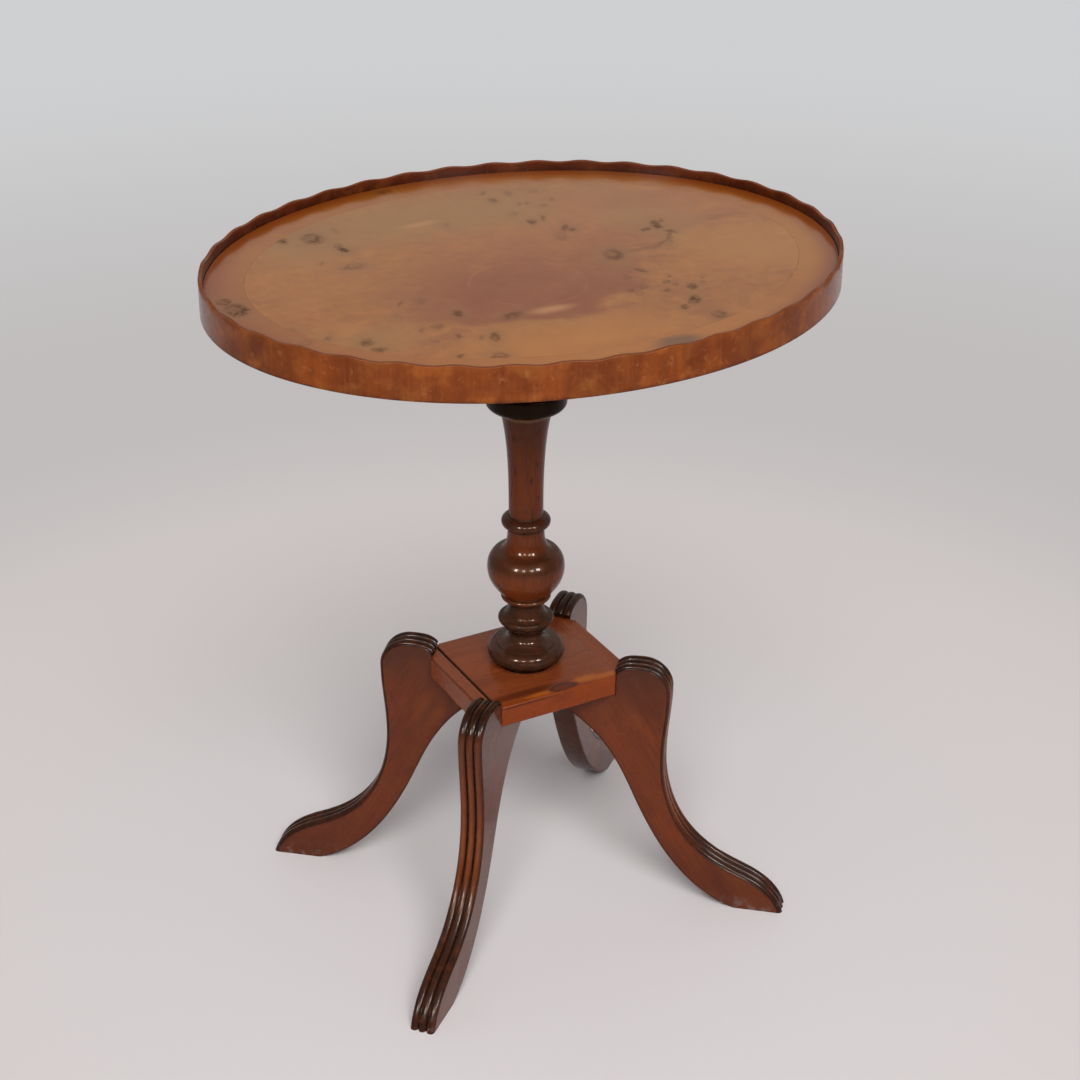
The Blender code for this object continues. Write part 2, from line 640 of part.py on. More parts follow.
pillar = make_pillar()
make_wedge("tenon_wedge", LOWER_TENON_RADIUS - 2 * FIT)
cut(pillar, as_cutter(make_wedge("wedge_cut", LOWER_TENON_RADIUS + FIT, FIT)))

top_backing, top_board = make_top()
top_block = make_block()
screw_place = (BLOCK_RADIUS - BLOCK_SCREW_INSET, BLOCK_UNDERSIDE + BLOCK_SCREW_SINK)
screw_length = TOP_UNDERSIDE + VENEER + FIT + BLOCK_SCREW_BITE - screw_place[1]
for number in range(BLOCK_SCREWS):
    turn = 2 * math.pi * (number + 0.5) / BLOCK_SCREWS
    make_screw(f"block_screw_{number + 1}", screw_length, screw_place, turn=turn)
    pilot = as_cutter(make_screw(f"block_hole_{number + 1}", screw_length, screw_place, FIT, turn))
    mouth = make_shaft(f"block_mouth_{number + 1}", SCREW_HEAD_RADIUS + FIT, BLOCK_UNDERSIDE - FIT,
                       screw_place[1], screw_place[0], turn)
    cut(top_block, pilot, mouth)
    cut(top_backing, pilot)
    cut(top_board, pilot)
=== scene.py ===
"""The looks of an oval wine table: yew top with a scalloped gallery, turned pillar and reeded legs."""

import math

import bmesh
import bpy
import numpy as np
from mathutils import Matrix, Vector


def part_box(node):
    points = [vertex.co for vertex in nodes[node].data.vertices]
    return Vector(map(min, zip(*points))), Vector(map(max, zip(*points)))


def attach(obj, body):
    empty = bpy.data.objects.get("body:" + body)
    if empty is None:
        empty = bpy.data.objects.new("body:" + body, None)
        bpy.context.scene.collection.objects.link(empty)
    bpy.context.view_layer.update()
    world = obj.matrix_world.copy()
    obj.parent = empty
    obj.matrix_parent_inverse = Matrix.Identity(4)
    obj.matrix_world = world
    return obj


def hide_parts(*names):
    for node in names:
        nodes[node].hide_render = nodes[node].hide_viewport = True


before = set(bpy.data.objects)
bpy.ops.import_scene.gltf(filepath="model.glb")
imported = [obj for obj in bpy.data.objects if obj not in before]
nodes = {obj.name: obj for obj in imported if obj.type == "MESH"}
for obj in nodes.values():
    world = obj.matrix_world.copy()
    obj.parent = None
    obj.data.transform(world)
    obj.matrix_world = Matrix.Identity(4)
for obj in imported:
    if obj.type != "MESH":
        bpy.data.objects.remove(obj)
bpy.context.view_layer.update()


# Platform
# A small mahogany board with a cleat glued across each end, the corners chamfered to seat the legs.
# The arrises are rubbed soft, the left cleat's joint has opened, and a knot breaks the front edge.
board_low, board_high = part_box("platform_board")
platform_half = Vector((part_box("platform_cleat_right")[1].x, board_high.y))
CORNER_CUT = 0.0120
ARRIS = 0.0009
WEAR_BAND = 0.0016
OPEN_JOINT = 0.0010
TIGHT_JOINT = 0.0001
DARK_LINE_INSET = 0.0010
MORTISE_RADIUS = 0.0128
MORTISE_SIDES = 48
SHARP_EDGE = math.radians(35)
ON_AXIS = 1e-6
leg_angle = math.atan2(platform_half.y, platform_half.x)
chamfer_distance = platform_half.length - CORNER_CUT


def build(name, bm, material):
    """Turns a bmesh into an object, shaded smooth between its sharp edges."""
    bmesh.ops.recalc_face_normals(bm, faces=bm.faces)
    mesh = bpy.data.meshes.new(name)
    bm.to_mesh(mesh)
    bm.free()
    mesh.materials.append(material)
    mesh.shade_smooth()
    mesh.set_sharp_from_angle(angle=SHARP_EDGE)
    piece = bpy.data.objects.new(name, mesh)
    bpy.context.scene.collection.objects.link(piece)
    return piece


def carve(piece, *cutters):
    """Cuts other objects out of a piece and removes them."""
    for cutter in cutters:
        cut = piece.modifiers.new(cutter.name, "BOOLEAN")
        cut.operation = "DIFFERENCE"
        cut.solver = "EXACT"
        cut.object = cutter
    view = bpy.context.evaluated_depsgraph_get()
    mesh = bpy.data.meshes.new_from_object(piece.evaluated_get(view))
    piece.modifiers.clear()
    piece.data = mesh
    mesh.set_sharp_from_angle(angle=SHARP_EDGE)
    for cutter in cutters:
        bpy.data.objects.remove(cutter, do_unlink=True)


def fit(piece, node):
    """Lets a piece stand for a CAD node and ride on the table."""
    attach(piece, "root")
    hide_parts(node)


def bridge(bm, first, second):
    """Faces between two rings of points, either of which may be a single point."""
    sides = max(len(first), len(second))
    for side in range(sides):
        after = (side + 1) % sides
        corners = [first[side % len(first)], first[after % len(first)],
                   second[after % len(second)], second[side % len(second)]]
        corners = list(dict.fromkeys(corners))
        if len(corners) > 2:
            bm.faces.new(corners)


def spun(profile, sides, masks=()):
    """A bmesh turned from points of radius and height, closed where the profile meets the axis."""
    bm = bmesh.new()
    layers = [bm.verts.layers.float.new(name) for name, _ in masks]
    rings = []
    for index, (radius, height) in enumerate(profile):
        ring = []
        for side in range(1 if radius < ON_AXIS else sides):
            angle = 2 * math.pi * side / sides
            ring.append(bm.verts.new((radius * math.cos(angle), radius * math.sin(angle), height)))
        for layer, (_, values) in zip(layers, masks):
            for vert in ring:
                vert[layer] = values[index]
        rings.append(ring)
    for lower, upper in zip(rings, rings[1:]):
        bridge(bm, lower, upper)
    return bm


def platform_outline(start, end):
    """The stretch of the platform's plan between two distances along its length, anticlockwise."""
    def half_width(x):
        chamfered = (chamfer_distance - abs(x) * math.cos(leg_angle)) / math.sin(leg_angle)
        return min(platform_half.y, chamfered)

    bend = (chamfer_distance - platform_half.y * math.sin(leg_angle)) / math.cos(leg_angle)
    stops = sorted({start, end} | {x for x in (-bend, bend) if start < x < end})
    return [(x, -half_width(x)) for x in stops] + [(x, half_width(x)) for x in reversed(stops)]


def eased_prism(outline, low, high, glued):
    """An upright prism with rounded arrises and a worn band along them, but not at a glued end."""
    bm = bmesh.new()
    base = bm.faces.new([bm.verts.new((x, y, low)) for x, y in outline])
    raised = bmesh.ops.extrude_face_region(bm, geom=[base])
    lifted = [item for item in raised["geom"] if isinstance(item, bmesh.types.BMVert)]
    bmesh.ops.translate(bm, verts=lifted, vec=(0, 0, high - low))
    free = [edge for edge in bm.edges if any(abs(vert.co.x - glued) > ARRIS for vert in edge.verts)]
    bmesh.ops.bevel(bm, geom=free, offset=ARRIS, segments=3, profile=0.5, affect="EDGES")
    flats = [face for face in bm.faces if face.calc_area() > (4 * ARRIS) ** 2]
    flats = [face for face in flats if min(edge.calc_length() for edge in face.edges) > 3 * WEAR_BAND]
    rubbed = {vert for vert in bm.verts if abs(vert.co.x - glued) > ARRIS}
    bmesh.ops.inset_individual(bm, faces=flats, thickness=WEAR_BAND, use_even_offset=True)
    worn = bm.verts.layers.float.new("worn")
    for vert in bm.verts:
        vert[worn] = 1.0 if vert in rubbed else 0.0
    return bm


class Shading:
    """A shader's node tree, with short forms for adding and wiring its nodes."""

    def __init__(self, tree):
        self.tree = tree
        self.principled = tree.nodes.get("Principled BSDF")
        self.colour = None

    def wire(self, sockets, values):
        """Links or sets a node's sockets by name."""
        for name, value in values.items():
            if isinstance(value, bpy.types.NodeSocket):
                self.tree.links.new(value, sockets[name])
            else:
                sockets[name].default_value = value

    def add(self, kind, inputs=None, **options):
        """Adds a node and returns its outputs."""
        node = self.tree.nodes.new("ShaderNode" + kind)
        for option, value in options.items():
            setattr(node, option, value)
        self.wire(node.inputs, inputs or {})
        return node.outputs

    def number(self, operation, first, second=0.0, third=0.0):
        return self.add("Math", {0: first, 1: second, 2: third}, operation=operation)[0]

    def times(self, first, second):
        return self.number("MULTIPLY", first, second)

    def off(self, first, second):
        """How far a number is from another."""
        return self.number("ABSOLUTE", self.number("SUBTRACT", first, second))

    def vector(self, operation, first, second):
        return self.add("VectorMath", {0: first, 1: second}, operation=operation)[0]

    def distance(self, place, other=(0.0, 0.0, 0.0)):
        return self.add("VectorMath", {0: place, 1: other}, operation="DISTANCE")["Value"]

    def axes(self, place):
        return self.add("SeparateXYZ", {0: place})

    def ranged(self, value, low, high, to_low=0.0, to_high=1.0):
        """A value eased from one range into another."""
        inputs = {"Value": value, "From Min": low, "From Max": high, "To Min": to_low, "To Max": to_high}
        return self.add("MapRange", inputs, interpolation_type="SMOOTHSTEP")[0]

    def lay(self, tone, share, strength=None):
        """Lays a tone over the colour so far, as far as a share and its strength say."""
        if strength is not None:
            share = self.times(share, strength)
        pair = [c if isinstance(c, bpy.types.NodeSocket) else (*c, 1.0) for c in (self.colour, tone)]
        self.colour = self.add("Mix", {0: share, 6: pair[0], 7: pair[1]}, data_type="RGBA")[2]

    def noise(self, place, scale, detail, seed=0.0, distortion=0.0):
        """Noise at one scale, or at a scale along each axis."""
        if isinstance(scale, tuple):
            place, scale = self.vector("MULTIPLY", place, scale), 1.0
        inputs = {"Vector": place, "W": seed, "Scale": scale, "Detail": detail, "Distortion": distortion}
        return self.add("TexNoise", inputs, noise_dimensions="4D")[0]

    def where(self):
        """The surface's place in metres."""
        return self.add("TexCoord")["Object"]

    def grain_place(self, turn):
        """The surface's place, turned so that its X runs with the grain."""
        return self.add("Mapping", {"Vector": self.where(), "Rotation": turn})[0]

    def mask(self, name):
        return self.add("Attribute", attribute_name=name)["Fac"]

    def oval_mark(self, place, middle, size, soft, uneven, turn=0.0):
        """A soft-edged oval on the surface, with an uneven outline."""
        away = self.vector("SUBTRACT", place, middle)
        if turn:
            away = self.add("VectorRotate", {"Vector": away, "Angle": -turn}, rotation_type="Z_AXIS")[0]
        reach = self.distance(self.vector("DIVIDE", away, size))
        ragged = self.noise(place, 0.9 / max(size[:2]), 3.0, middle[0] * 50)
        reach = self.number("ADD", reach, self.number("MULTIPLY_ADD", ragged, 2 * uneven, -uneven))
        return self.ranged(reach, 1.0 - soft, 1.0 + soft, 1.0, 0.0)

    def lay_marks(self, place, marks):
        """Ovals of other tones: tone, middle, half lengths, softness, unevenness and strength."""
        for tone, middle, size, soft, uneven, strength in marks:
            self.lay(tone, self.oval_mark(place, middle, size, soft, uneven), strength)

    def finish(self, specular, coat=0.0, blur=0.03):
        """Gives the shader the colour, its own sheen, and a coat of polish with some blur."""
        self.wire(self.principled.inputs, {"Base Color": self.colour, "Specular IOR Level": specular,
                                           "Coat Weight": coat, "Coat Roughness": blur})


def new_group(name, inputs, outputs):
    """An empty shader node group with named sockets, and its shading, inputs and outputs."""
    group = bpy.data.node_groups.new(name, "ShaderNodeTree")
    for label, kind in inputs.items():
        group.interface.new_socket(label, in_out="INPUT", socket_type="NodeSocket" + kind)
    for label in outputs:
        group.interface.new_socket(label, in_out="OUTPUT", socket_type="NodeSocketFloat")
    taken, given = group.nodes.new("NodeGroupInput").outputs, group.nodes.new("NodeGroupOutput").inputs
    return group, Shading(group), taken, given


# Grain: fibres, broad bands, pores and clouding, from a place in metres whose X runs with the grain
# Each has its scales, detail, and the range of noise that shows
GRAIN = {
    "Fibre": ((14.0, 620.0, 620.0), 4.0, 0.30, 0.72),
    "Bands": ((5.0, 62.0, 62.0), 3.0, 0.34, 0.66),
    "Pores": ((170.0, 1700.0, 1700.0), 0.0, 0.66, 0.76),
    "Cloud": ((11.0, 17.0, 17.0), 2.0, 0.32, 0.68),
}
GRAIN_SWAY = 0.012
grain_group, look, taken, given = new_group("wood_grain", {"Place": "Vector", "Seed": "Float"}, GRAIN)
sway = look.times(look.noise(taken["Place"], 9.0, 1.0, taken["Seed"]), GRAIN_SWAY)
swayed = look.vector("ADD", taken["Place"], look.add("CombineXYZ", {1: sway})[0])
for label, (scales, detail, low, high) in GRAIN.items():
    look.wire(given, {label: look.ranged(look.noise(swayed, scales, detail, taken["Seed"]), low, high)})

# Handling: smudges in the polish, rubbed patches on what stands proud, and old wax in what lies deep, with
# painted shade where a piece's mask marks shade
SCUFF_SCALES = (90.0, 900.0, 900.0)
handling_group, look, taken, given = new_group(
    "handling", {"Place": "Vector", "Seed": "Float", "Worn": "Float", "Grime and shade": "Float"},
    ("Smudge", "Rubbed", "Wax and shade", "Scuff"))
smudge, patches, settled, scuffs = (
    look.noise(taken["Place"], scale, detail, taken["Seed"])
    for scale, detail in ((38.0, 3.0), (55.0, 3.0), (150.0, 3.0), (SCUFF_SCALES, 2.0)))
look.wire(given, {
    "Smudge": look.ranged(smudge, 0.40, 0.75),
    "Rubbed": look.times(taken["Worn"], look.ranged(patches, 0.30, 0.70, 0.35, 1.0)),
    "Wax and shade": look.times(taken["Grime and shade"], look.ranged(settled, 0.20, 0.60, 0.55, 1.0)),
    "Scuff": look.ranged(scuffs, 0.66, 0.74),
})

HANDLING_SEED = 3.7
CLOUD_SHARE = 0.30
SMUDGE_BLUR = 0.10
RUBBED_BLUR = 0.12
SCUFF_BLUR = 0.03
PORE_HEIGHT = -0.6
FIBRE_HEIGHT = 0.35
GRAIN_RELIEF = 0.10
GRAIN_DEPTH = 0.00015


def new_material(name):
    material = bpy.data.materials.new(name)
    material.use_nodes = True
    return material, Shading(material.node_tree)


def dress_wood(look, place, tones, seed, rubbed, wax_and_shade, roughness, pore_depth=0.5, streak=0.55):
    """Gives a wood its grain, wear, colour and roughness."""
    deep, middle, bright = tones
    grain = look.add("Group", {"Place": place, "Seed": seed}, node_tree=grain_group)
    inputs = {"Place": place, "Seed": seed + HANDLING_SEED,
              "Worn": look.mask("worn"), "Grime and shade": look.mask("grime_and_shade")}
    handling = look.add("Group", inputs, node_tree=handling_group)
    look.colour = deep
    look.lay(middle, grain["Bands"])
    look.lay(bright, grain["Fibre"], streak)
    look.lay(deep, grain["Cloud"], CLOUD_SHARE)
    look.lay(wax_and_shade, grain["Pores"], pore_depth)
    look.lay(rubbed, handling["Rubbed"])
    # Old wax, and painted shade where the mask marks it
    look.lay(wax_and_shade, handling["Wax and shade"])
    rough = look.ranged(handling["Smudge"], 0.0, 1.0, roughness, roughness + SMUDGE_BLUR)
    rough = look.number("MULTIPLY_ADD", handling["Rubbed"], RUBBED_BLUR, rough)
    rough = look.number("MULTIPLY_ADD", handling["Scuff"], SCUFF_BLUR, rough)
    fibres = look.times(grain["Fibre"], FIBRE_HEIGHT)
    height = look.number("MULTIPLY_ADD", grain["Pores"], PORE_HEIGHT, fibres)
    bump = look.add("Bump", {"Strength": GRAIN_RELIEF, "Distance": GRAIN_DEPTH, "Height": height})[0]
    look.wire(look.principled.inputs, {"Roughness": rough, "Normal": bump})


# The front edge of the board has a knot, with dark grain running from it and worn orange wood beside it
PLATFORM_TONES = ((0.130, 0.026, 0.0075), (0.195, 0.040, 0.0105), (0.255, 0.062, 0.0150))
PLATFORM_RUBBED = (0.270, 0.070, 0.018)
PLATFORM_WAX = (0.030, 0.011, 0.006)
JOINT_TONE = (0.030, 0.008, 0.0035)
KNOT_TONE = (0.105, 0.019, 0.0040)
KNOT_BARK = (0.026, 0.006, 0.0020)
SMOKY_TONE = (0.070, 0.013, 0.0035)
ORANGE_TONE = (0.370, 0.095, 0.0080)
FRONT_TONE = (0.188, 0.029, 0.0016)
JOINT_SPREAD = (0.0008, 0.0020)
DARK_LINE_SPREAD = (0.0003, 0.0010)
FRONT_EDGE = (-0.0445, -0.0520)
FRONT_SHARE = 0.75
FRONT_MARKS = (
    (SMOKY_TONE, (-0.024, -0.0420, 0.199), (0.034, 0.0042, 0.004), 0.6, 0.6, 0.85),
    (ORANGE_TONE, (0.026, -0.0450, 0.199), (0.009, 0.0040, 0.004), 0.5, 0.8, 0.75),
    (ORANGE_TONE, (0.044, -0.0478, 0.199), (0.012, 0.0036, 0.004), 0.5, 0.8, 0.70),
    (ORANGE_TONE, (-0.014, -0.0490, 0.199), (0.012, 0.0026, 0.003), 0.5, 0.7, 0.65),
    (KNOT_BARK, (-0.030, -0.0530, 0.1972), (0.022, 0.0040, 0.0011), 0.4, 0.5, 0.6),
    (KNOT_TONE, (0.003, -0.0530, 0.1945), (0.0085, 0.0040, 0.0045), 0.6, 0.6, 0.45),
    (KNOT_BARK, (0.0045, -0.0476, 0.199), (0.0120, 0.0046, 0.0050), 0.2, 0.6, 0.9),
    (KNOT_TONE, (0.0055, -0.0479, 0.199), (0.0088, 0.0033, 0.0046), 0.25, 0.5, 1.0),
)


def platform_material(name, turn, seed, knotted):
    material, look = new_material(name)
    place = look.grain_place((0.0, 0.0, turn))
    dress_wood(look, place, PLATFORM_TONES, seed, PLATFORM_RUBBED, PLATFORM_WAX, 0.26)
    where = look.where()
    face = look.axes(where)
    joint = look.off(face["X"], -board_high.x - OPEN_JOINT / 2)
    look.lay(JOINT_TONE, look.ranged(joint, *JOINT_SPREAD, 0.85, 0.0))
    dark_line = look.off(face["X"], DARK_LINE_INSET - platform_half.x)
    look.lay(JOINT_TONE, look.ranged(dark_line, *DARK_LINE_SPREAD, 0.7, 0.0))
    if knotted:
        look.lay(FRONT_TONE, look.ranged(face["Y"], *FRONT_EDGE), FRONT_SHARE)
        look.lay_marks(where, FRONT_MARKS)
    polish = look.ranged(face["Z"], board_high.z - 0.0010, board_high.z - 0.0002, 0.02, 0.09)
    look.finish(0.14, polish, 0.20)
    return material


for node, start, end, turn, seed in (
    ("platform_board", -board_high.x, board_high.x, 0.0, 1.0),
    ("platform_cleat_left", -platform_half.x, -board_high.x - OPEN_JOINT, math.pi / 2, 2.0),
    ("platform_cleat_right", board_high.x + TIGHT_JOINT, platform_half.x, math.pi / 2, 3.0),
):
    material = platform_material(node + "_wood", turn, seed, node == "platform_board")
    bm = eased_prism(platform_outline(start, end), board_low.z, board_high.z, board_high.x)
    slab = build(node + "_dressed", bm, material)
    if node == "platform_board":
        hole = [(0, board_low.z - ARRIS), (MORTISE_RADIUS, board_low.z - ARRIS),
                (MORTISE_RADIUS, board_high.z + ARRIS), (0, board_high.z + ARRIS)]
        carve(slab, build("mortise", spun(hole, MORTISE_SIDES), material))
    fit(slab, node)


# Legs
# Four sabre legs sawn from mahogany plank, with three reeds run along the outer edge over a round head.
# Each is notched over a chamfered corner of the platform, with a tongue below it that takes a screw.
LEG_THICKNESS = 0.0187
LEG_SPREAD = 0.2023
SOLE_LENGTH = 0.0360
HEAD_WIDTH = 0.0385
HEAD_RISE = 0.0068
HEAD_DROP = 0.0125
WAIST_INSET = 0.0035
WAIST_DROP = 0.0547
INSTEP = (0.0393, 0.0332)
CALF = (0.0206, 0.0867)
TONGUE_END = 0.0247
TONGUE_END_DEPTH = 0.0127
UP, DOWN, OUTWARD = (0, 1), (0, -1), (1, 0)
HEAD_WAY = (0.45, 1)
INSTEP_WAY = (1, -0.44)
TOE_WAY = (0.35, -1)
HEEL_WAY = (-1, 0.34)
CALF_WAY = (-0.42, 1)
TONGUE_WAY = (-1, 0.52)
CURVE_PULL = 0.38
HEEL_PULL = 0.34
REEDS = 3
REED_HEIGHT = 0.0024
SIDES_PER_REED = 10
QUIRK_WIDTH = 0.0005
QUIRK_DEPTH = 0.0004
CREST_WEAR = 6
GROOVE_WAX = 0.7
LEG_ARRIS = 0.0007
HEAD_DARK = 0.186
TOE_DARK = 0.055
DIRT = ((0.0, 0.85), (TOE_DARK, 0.80), (2 * TOE_DARK, 0.0), (HEAD_DARK, 0.0), (board_high.z, 0.90))
# The plain inner edge is laid with the wax tone as painted shade under the leg
INNER_EDGE_WORN = 0.15
INNER_EDGE_SHADE = 0.65
COUNTERBORE_RADIUS = 0.0048
COUNTERBORE_HEIGHT = 0.1652
COUNTERBORE_SIDES = 24
SCREW_INSET = 0.023
SEAT_GAP = 0.0003
seat = chamfer_distance + SEAT_GAP


def curve(start, start_way, end, end_way, steps, pull=CURVE_PULL):
    """A smooth curve between two points that leaves and arrives in the given directions."""
    start, end = Vector(start), Vector(end)
    reach = (end - start).length * pull
    first = start + Vector(start_way).normalized() * reach
    last = end - Vector(end_way).normalized() * reach
    points = []
    for step in range(steps + 1):
        t = step / steps
        weights = ((1 - t) ** 3, 3 * t * (1 - t) ** 2, 3 * t * t * (1 - t), t ** 3)
        points.append(sum((p * w for p, w in zip((start, first, last, end), weights)), Vector((0, 0))))
    return points


def leg_edges():
    """The reeded outer edge from the seat to the toe, and the plain edge from the heel back to the seat."""
    low, high = board_low.z, board_high.z
    bulge = seat + HEAD_WIDTH
    head = (seat + HEAD_WIDTH / 2, high + HEAD_RISE)
    widest = (bulge, high - HEAD_DROP)
    waist = (bulge - WAIST_INSET, low - WAIST_DROP)
    instep = (LEG_SPREAD - INSTEP[0], INSTEP[1])
    front = curve((seat, high), HEAD_WAY, head, OUTWARD, 10)
    front += curve(head, OUTWARD, widest, DOWN, 14)[1:]
    front += curve(widest, DOWN, waist, DOWN, 14)[1:]
    front += curve(waist, DOWN, instep, INSTEP_WAY, 22)[1:]
    front += curve(instep, INSTEP_WAY, (LEG_SPREAD, 0), TOE_WAY, 14)[1:]
    calf = (bulge - WAIST_INSET - CALF[0], low - CALF[1])
    tongue = (TONGUE_END, low - TONGUE_END_DEPTH)
    back = curve((LEG_SPREAD - SOLE_LENGTH, 0), HEEL_WAY, calf, CALF_WAY, 22, HEEL_PULL)
    back += curve(calf, CALF_WAY, tongue, TONGUE_WAY, 18)[1:]
    back += [Vector((tongue[0], low - SEAT_GAP)), Vector((seat, low - SEAT_GAP))]
    return front, back


def reed_section():
    """Places across the leg with the reeds' height there, and how much is rubbed and waxed."""
    width = LEG_THICKNESS / REEDS
    half = LEG_THICKNESS / 2
    section = [(-half, 0.0, 0.3, 0.2), (-half + QUIRK_DEPTH, QUIRK_WIDTH, 0.0, 0.8)]
    for reed in range(REEDS):
        middle = (reed - (REEDS - 1) / 2) * width
        for side in range(SIDES_PER_REED + 1):
            angle = math.pi * side / SIDES_PER_REED
            across = middle - (width / 2 - QUIRK_DEPTH / 2) * math.cos(angle)
            crest = math.sin(angle)
            height = QUIRK_WIDTH + REED_HEIGHT * crest
            section.append((across, height, crest ** CREST_WEAR, (1 - crest) ** GROOVE_WAX))
    return section + [(half - QUIRK_DEPTH, QUIRK_WIDTH, 0.0, 0.8), (half, 0.0, 0.3, 0.2)]


def leg_mesh():
    front, back = leg_edges()
    section = reed_section()
    bm = bmesh.new()
    worn = bm.verts.layers.float.new("worn")
    grime_and_shade = bm.verts.layers.float.new("grime_and_shade")
    rows = []
    for index, point in enumerate(front):
        along = front[min(index + 1, len(front) - 1)] - front[max(index - 1, 0)]
        outward = Vector((-along.y, along.x)).normalized()
        if index == 0:
            outward = Vector(UP)
        if index == len(front) - 1:
            outward = Vector(OUTWARD)
        row = []
        for across, height, crest, groove in section:
            spot = point + outward * height
            vert = bm.verts.new((spot.x, across, spot.y))
            dirt = np.interp(spot.y, *zip(*DIRT))
            vert[worn], vert[grime_and_shade] = crest * (1 - dirt), max(groove, dirt)
            row.append(vert)
        rows.append(row)
    sides = [[bm.verts.new((p.x, y, p.y)) for p in back] for y in (-LEG_THICKNESS / 2, LEG_THICKNESS / 2)]
    # Painted shade on the plain inner edge
    for vert in sides[0] + sides[1]:
        vert[worn], vert[grime_and_shade] = INNER_EDGE_WORN, INNER_EDGE_SHADE
    for upper, lower in zip(rows, rows[1:]):
        for column in range(len(section) - 1):
            bm.faces.new((upper[column], upper[column + 1], lower[column + 1], lower[column]))
    for near, far, near_next, far_next in zip(sides[0], sides[1], sides[0][1:], sides[1][1:]):
        bm.faces.new((near, far, far_next, near_next))
    bm.faces.new([row[0] for row in rows] + sides[0])
    bm.faces.new([row[-1] for row in rows] + sides[1])
    bm.faces.new(rows[-1] + sides[1][:1] + sides[0][:1])
    bm.faces.new(rows[0] + sides[1][-1:] + sides[0][-1:])
    bmesh.ops.recalc_face_normals(bm, faces=bm.faces)
    arrises = [bm.edges.get(pair) for edge in sides for pair in zip(edge[:-2], edge[1:-1])]
    bmesh.ops.bevel(bm, geom=arrises, offset=LEG_ARRIS, segments=2, profile=0.5, affect="EDGES")
    before = set(bm.verts)
    flats = [face for face in bm.faces if len(face.verts) > len(rows)]
    bmesh.ops.inset_individual(bm, faces=flats, thickness=WEAR_BAND, use_even_offset=True)
    for vert in bm.verts:
        if vert not in before:
            vert[worn], vert[grime_and_shade] = 0.0, 0.0
    return bm


LEG_TONES = ((0.088, 0.0154, 0.0038), (0.119, 0.0220, 0.0048), (0.153, 0.0315, 0.0070))
LEG_RUBBED = (0.138, 0.038, 0.0115)
LEG_HEAD = (0.040, 0.0125, 0.0055)
LEG_WAX_AND_SHADE = (0.010, 0.0055, 0.0030)
LEG_GLOW = (0.190, 0.041, 0.0062)
LEG_SHADE = (0.062, 0.0135, 0.0042)
LEG_WARM = (0.225, 0.058, 0.0085)
CHIP_TONE = (0.15, 0.105, 0.092)
CHIP_SHARE = 0.65
LEG_GRAIN = (0.0, math.radians(-60), 0.0)
LONG_GRAIN = (0.45, 1.0, 1.0)
# Heights between which a tone comes in
WARM_BELOW = (0.145, 0.085)
WARM_ABOVE = (0.042, 0.075)
FOOT_SHADE = (0.065, 0.015)
HEAD_SMOKE = (0.145, 0.206)
KICKED = (0.016, 0.001)


def leg_material(name, seed):
    """Mahogany, dark at the head, the toe and in the grooves, and rubbed orange on the reeds between."""
    material, look = new_material(name)
    place = look.grain_place(LEG_GRAIN)
    dress_wood(look, place, LEG_TONES, seed, LEG_RUBBED, LEG_WAX_AND_SHADE, 0.24)
    height = look.axes(look.where())["Z"]
    worn, grime_and_shade = look.mask("worn"), look.mask("grime_and_shade")
    clean = look.ranged(grime_and_shade, 0.0, 0.45, 1.0, 0.0)
    long_grain = look.vector("MULTIPLY", place, LONG_GRAIN)
    glow = look.ranged(look.noise(long_grain, 34.0, 4.0, seed + 2.0), 0.46, 0.66, 0.0, 0.55)
    look.lay(LEG_GLOW, glow, clean)
    warm = look.times(look.ranged(height, *WARM_BELOW, 0.0, 0.65), worn)
    look.lay(LEG_WARM, warm, look.ranged(height, *WARM_ABOVE))
    shade = look.ranged(look.noise(long_grain, 48.0, 4.0, seed + 6.0), 0.50, 0.70, 0.0, 0.60)
    shade = look.number("MAXIMUM", shade, look.ranged(height, *FOOT_SHADE, 0.0, 0.45))
    shade = look.times(shade, look.ranged(worn, 0.0, 0.5, 1.0, 0.2))
    look.lay(LEG_SHADE, shade, clean)
    smoky = look.ranged(look.noise(place, 30.0, 3.0, seed), 0.30, 0.70, 0.55, 1.0)
    smoky = look.times(smoky, look.ranged(height, *HEAD_SMOKE, 0.0, 0.75))
    look.lay(LEG_HEAD, smoky, clean)
    chips = look.ranged(look.noise(place, 170.0, 5.0, seed), 0.46, 0.70)
    chips = look.times(chips, look.ranged(height, *KICKED))
    look.lay(CHIP_TONE, chips, CHIP_SHARE)
    handled = look.number("MAXIMUM", grime_and_shade, look.times(worn, 0.15))
    gloss = look.ranged(look.add("LayerWeight")["Facing"], 0.45, 0.85, 0.19, 0.62)
    look.finish(0.10, look.ranged(handled, 0.0, 1.0, gloss, 0.06), 0.09)
    return material


LEG_TURNS = {"back": leg_angle, "left": math.pi - leg_angle,
             "front": math.pi + leg_angle, "right": -leg_angle}
for count, (corner, turn) in enumerate(LEG_TURNS.items()):
    material = leg_material(f"leg_{corner}_wood", 11.0 + 5.3 * count)
    leg = build(f"leg_{corner}_dressed", leg_mesh(), material)
    bore = [(0, 0), (COUNTERBORE_RADIUS, 0), (COUNTERBORE_RADIUS, COUNTERBORE_HEIGHT),
            (0, COUNTERBORE_HEIGHT)]
    cutter = build("counterbore", spun(bore, COUNTERBORE_SIDES), material)
    cutter.location = (seat - SCREW_INSET, 0, 0)
    carve(leg, cutter)
    leg.rotation_euler.z = turn
    fit(leg, f"leg_{corner}")


